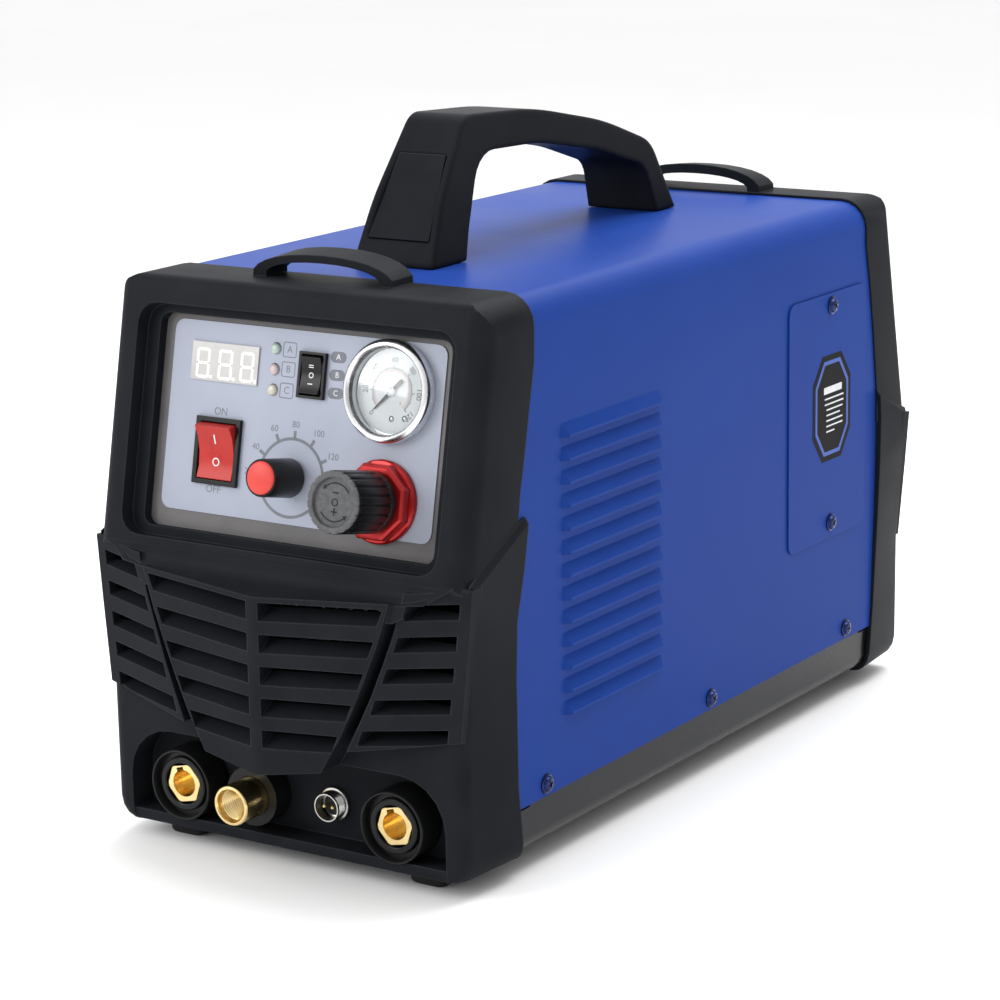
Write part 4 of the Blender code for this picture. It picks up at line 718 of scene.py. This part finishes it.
# ---------------------------------------------------------------- screws, label
def cross_head():
    """Flanged screw with a cross recess, in mm, its head along Z."""
    head = bpy.data.objects.new("head", lathe([(0, -6), (1.8, -6), (1.8, 0.15), (4.7, 0.15), (4.7, 0.6),
                                               (4.4, 0.85), (3.7, 1.0), (3.6, 1.4), (3.2, 2.1), (2.2, 2.5),
                                               (0, 2.6)], 48))
    bm = bmesh.new()
    for turn in (0, 90):
        turned = Matrix.Rotation(math.radians(turn), 3, "Z")
        rows = [[turned @ Vector(p) for p in ((-half, -wide, h), (half, -wide, h), (half, wide, h),
                                              (-half, wide, h))]
                for h, half, wide in ((0.5, 0.7, 0.25), (3.0, 2.3, 0.42))]
        prism(rows, bm)
    cross = bpy.data.objects.new("cross", to_mesh(bm))
    for made in (head, cross):
        bpy.context.scene.collection.objects.link(made)
    cut = head.modifiers.new("cut", "BOOLEAN")
    cut.operation, cut.solver, cut.object, cut.use_self = "DIFFERENCE", "EXACT", cross, True
    result = bpy.data.meshes.new_from_object(head.evaluated_get(bpy.context.evaluated_depsgraph_get()))
    for made in (head, cross):
        bpy.data.objects.remove(made)
    return result


def screws():
    pattern = cross_head()
    names = ["side_screw_%s_%s" % (side, place) for side in ("left", "right")
             for place in ("front", "middle", "rear")] + ["service_screw_lower", "service_screw_upper"]
    for k, name in enumerate(names):
        low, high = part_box(name)
        centre = (low + high) / 2
        sign = 1 if centre.x > 0 else -1
        tip = high.x if sign > 0 else low.x
        place = Matrix.Rotation(math.radians(90 * sign), 4, "Y")
        place.translation = (tip - sign * 2.6 * MM, centre.y, centre.z)
        turned = place @ Matrix.Rotation(math.radians(17 + 31 * k), 4, "Z")
        piece(name + "_head", pattern.copy(), "blued", replaces=(name,), place=turned, sharp=28)


def octagon(half_y, half_z, cut_y, cut_z):
    return [(half_y, half_z - cut_z), (half_y - cut_y, half_z), (cut_y - half_y, half_z),
            (-half_y, half_z - cut_z), (-half_y, cut_z - half_z), (cut_y - half_y, -half_z),
            (half_y - cut_y, -half_z), (half_y, cut_z - half_z)]


def side_label():
    """Plain eight-sided plate on the service cover: dark, with a light line round it, no text."""
    place = Matrix((Vector((0, 1, 0)), Vector((0, 0, 1)), X)).transposed().to_4x4()
    upper, lower = middle("service_screw_upper"), middle("service_screw_lower")
    place.translation = Vector((middle("service_cover").x, upper.y + 0.6 * MM,
                                (upper.z + lower.z) / 2 + 4 * MM))
    printed("label_plate", [octagon(21.2, 27.9, 10.6, 13.8)], "label_black", "service_cover", place,
            lift=0.12, sink=0.08)
    printed("label_line", stroke(octagon(17.4, 23.9, 9.0, 12.0), 2.0, True), "label_line",
            "service_cover", place, lift=0.20, sink=0.08)
    bars = stroke([(-9.0, 9.5), (11.0, 9.5)], 3.6)
    for row, (left, right) in enumerate(((-8, 13), (-8, 13), (-6, 12), (-6, 9), (-6, 12), (-6, 12), (-6, 3))):
        bars += stroke([(left, 5.0 - 2.9 * row), (right, 5.0 - 2.9 * row)], 0.8)
    printed("label_bars", bars, "white_ink", "service_cover", place, lift=0.20, sink=0.08)


def louvre_shade_sheets():
    """Dark sheets just inside the side louvres: painted shade in the openings."""
    low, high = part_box("top_cover")
    inner = (high.x - low.x) / 2 / MM - 5.6
    for side, sign in (("left", -1), ("right", 1)):
        outline = [(sign * inner, -143), (sign * (inner + 0.5), -143), (sign * (inner + 0.5), -42),
                   (sign * inner, -42)]
        piece("louvre_shade_sheet_" + side, prism([[(x, y, z) for x, y in outline] for z in (62, 206)]),
              "painted_shade_black", place=Matrix.Identity(4))


# ---------------------------------------------------------------- stage, light and camera
def stage():
    half = 14.0
    mesh = bpy.data.meshes.new("floor")
    mesh.from_pydata([(-half, -half, 0), (half, -half, 0), (half, half, 0), (-half, half, 0)], [],
                     [(0, 1, 2, 3)])
    floor = bpy.data.objects.new("floor", mesh)
    bpy.context.scene.collection.objects.link(floor)
    floor.data.materials.append(surface("floor", (0.96, 0.96, 0.96), (0.98, 0.98, 0.98), (0.7, 0.8),
                                        mottle=2.0, grain=400.0, bump=0.02, Specular_IOR_Level=0.1))
    world = bpy.data.worlds.new("studio")
    world.use_nodes = True
    sky = world.node_tree
    place = node(sky, "ShaderNodeTexCoord")
    axes = node(sky, "ShaderNodeSeparateXYZ")
    sky.links.new(place.outputs["Generated"], axes.inputs["Vector"])
    sky.links.new(between(sky, axes.outputs["X"], -0.1, 0.8, 1.12, 0.62),
                  sky.nodes["Background"].inputs["Strength"])
    sky.nodes["Background"].inputs["Color"].default_value = (1.0, 1.0, 1.0, 1.0)
    bpy.context.scene.world = world
    for name, spot_at, aim, size, power in (
            ("top", (0.1, 0.5, 1.4), (0, 0.05, 0.25), 1.3, 25.0),
            ("front", (-0.9, -1.3, 0.8), (0, -0.2, 0.15), 0.8, 11.0)):
        lamp = bpy.data.lights.new(name, "AREA")
        lamp.size = size
        lamp.energy = power
        holder = bpy.data.objects.new(name, lamp)
        holder.location = spot_at
        holder.rotation_euler = (Vector(aim) - Vector(spot_at)).to_track_quat("-Z", "Y").to_euler()
        bpy.context.scene.collection.objects.link(holder)
    bpy.context.scene.view_settings.view_transform = "Standard"


def camera():
    forward = Vector((-0.5315, 0.8147, -0.2319)).normalized()
    right = forward.cross(Vector((-0.1122, 0.2036, 0.9726))).normalized()
    data = bpy.data.cameras.new("camera")
    data.sensor_width = 36.0
    data.lens = 113.04
    data.clip_start = 0.05
    data.clip_end = 50.0
    holder = bpy.data.objects.new("camera", data)
    matrix = Matrix((right, right.cross(forward), -forward)).transposed().to_4x4()
    matrix.translation = Vector((829.8, -1303.5, 497.0)) * MM
    holder.matrix_world = matrix
    bpy.context.scene.collection.objects.link(holder)
    bpy.context.scene.camera = holder


for name, key, width in (
        ("front_cover", "moulded", 0), ("rear_cover", "moulded", 0), ("carry_handle", "handle", 1.0),
        ("handle_insert_plate", "moulded", 0), ("top_cover", "powder_blue", 0),
        ("service_cover", "powder_blue", 0), ("rear_panel", "black_metal", 0),
        ("base_pan", "black_metal", 0), ("control_panel", "grey_paint", 0),
        ("panel_overlay", "film", 0), ("display_module", "display", 0),
        ("power_switch_housing", "smooth_black", 0.4), ("power_rocker", "red_rocker", 0.35),
        ("mode_switch_housing", "smooth_black", 0.3), ("mode_rocker", "smooth_black", 0.3),
        ("current_potentiometer", "chrome", 0.1), ("regulator_body", "aluminium", 0.2),
        ("regulator_spindle", "steel", 0.2), ("gauge_dial", "white", 0),
        ("torch_connector_collar", "smooth_black", 0), ("inverter_board", "green_board", 0.2),
        ("heatsink", "aluminium", 0.2), ("main_transformer", "ferrite", 1.0), ("output_choke", "copper", 0.5),
        ("main_capacitor", "sleeve", 0.5), ("fan_frame", "smooth_black", 0.4),
        ("fan_rotor", "smooth_black", 0.3), ("solenoid_valve", "brass", 0.5),
        ("solenoid_plunger", "steel", 0.2), ("power_cord_gland", "smooth_black", 0.4),
        ("air_inlet_fitting", "brass", 0.2), ("output_socket_left_contact", "brass", 0),
        ("output_socket_right_contact", "brass", 0), ("foot_front_left", "rubber", 0.6),
        ("foot_front_right", "rubber", 0.6), ("foot_rear_left", "rubber", 0.6),
        ("foot_rear_right", "rubber", 0.6)):
    dress(name, key, width)
gauge()
current_control()
regulator()
regulator_ring()
status_lamps()
panel_prints()
sockets()
screws()
side_label()
louvre_shade_sheets()
stage()
camera()
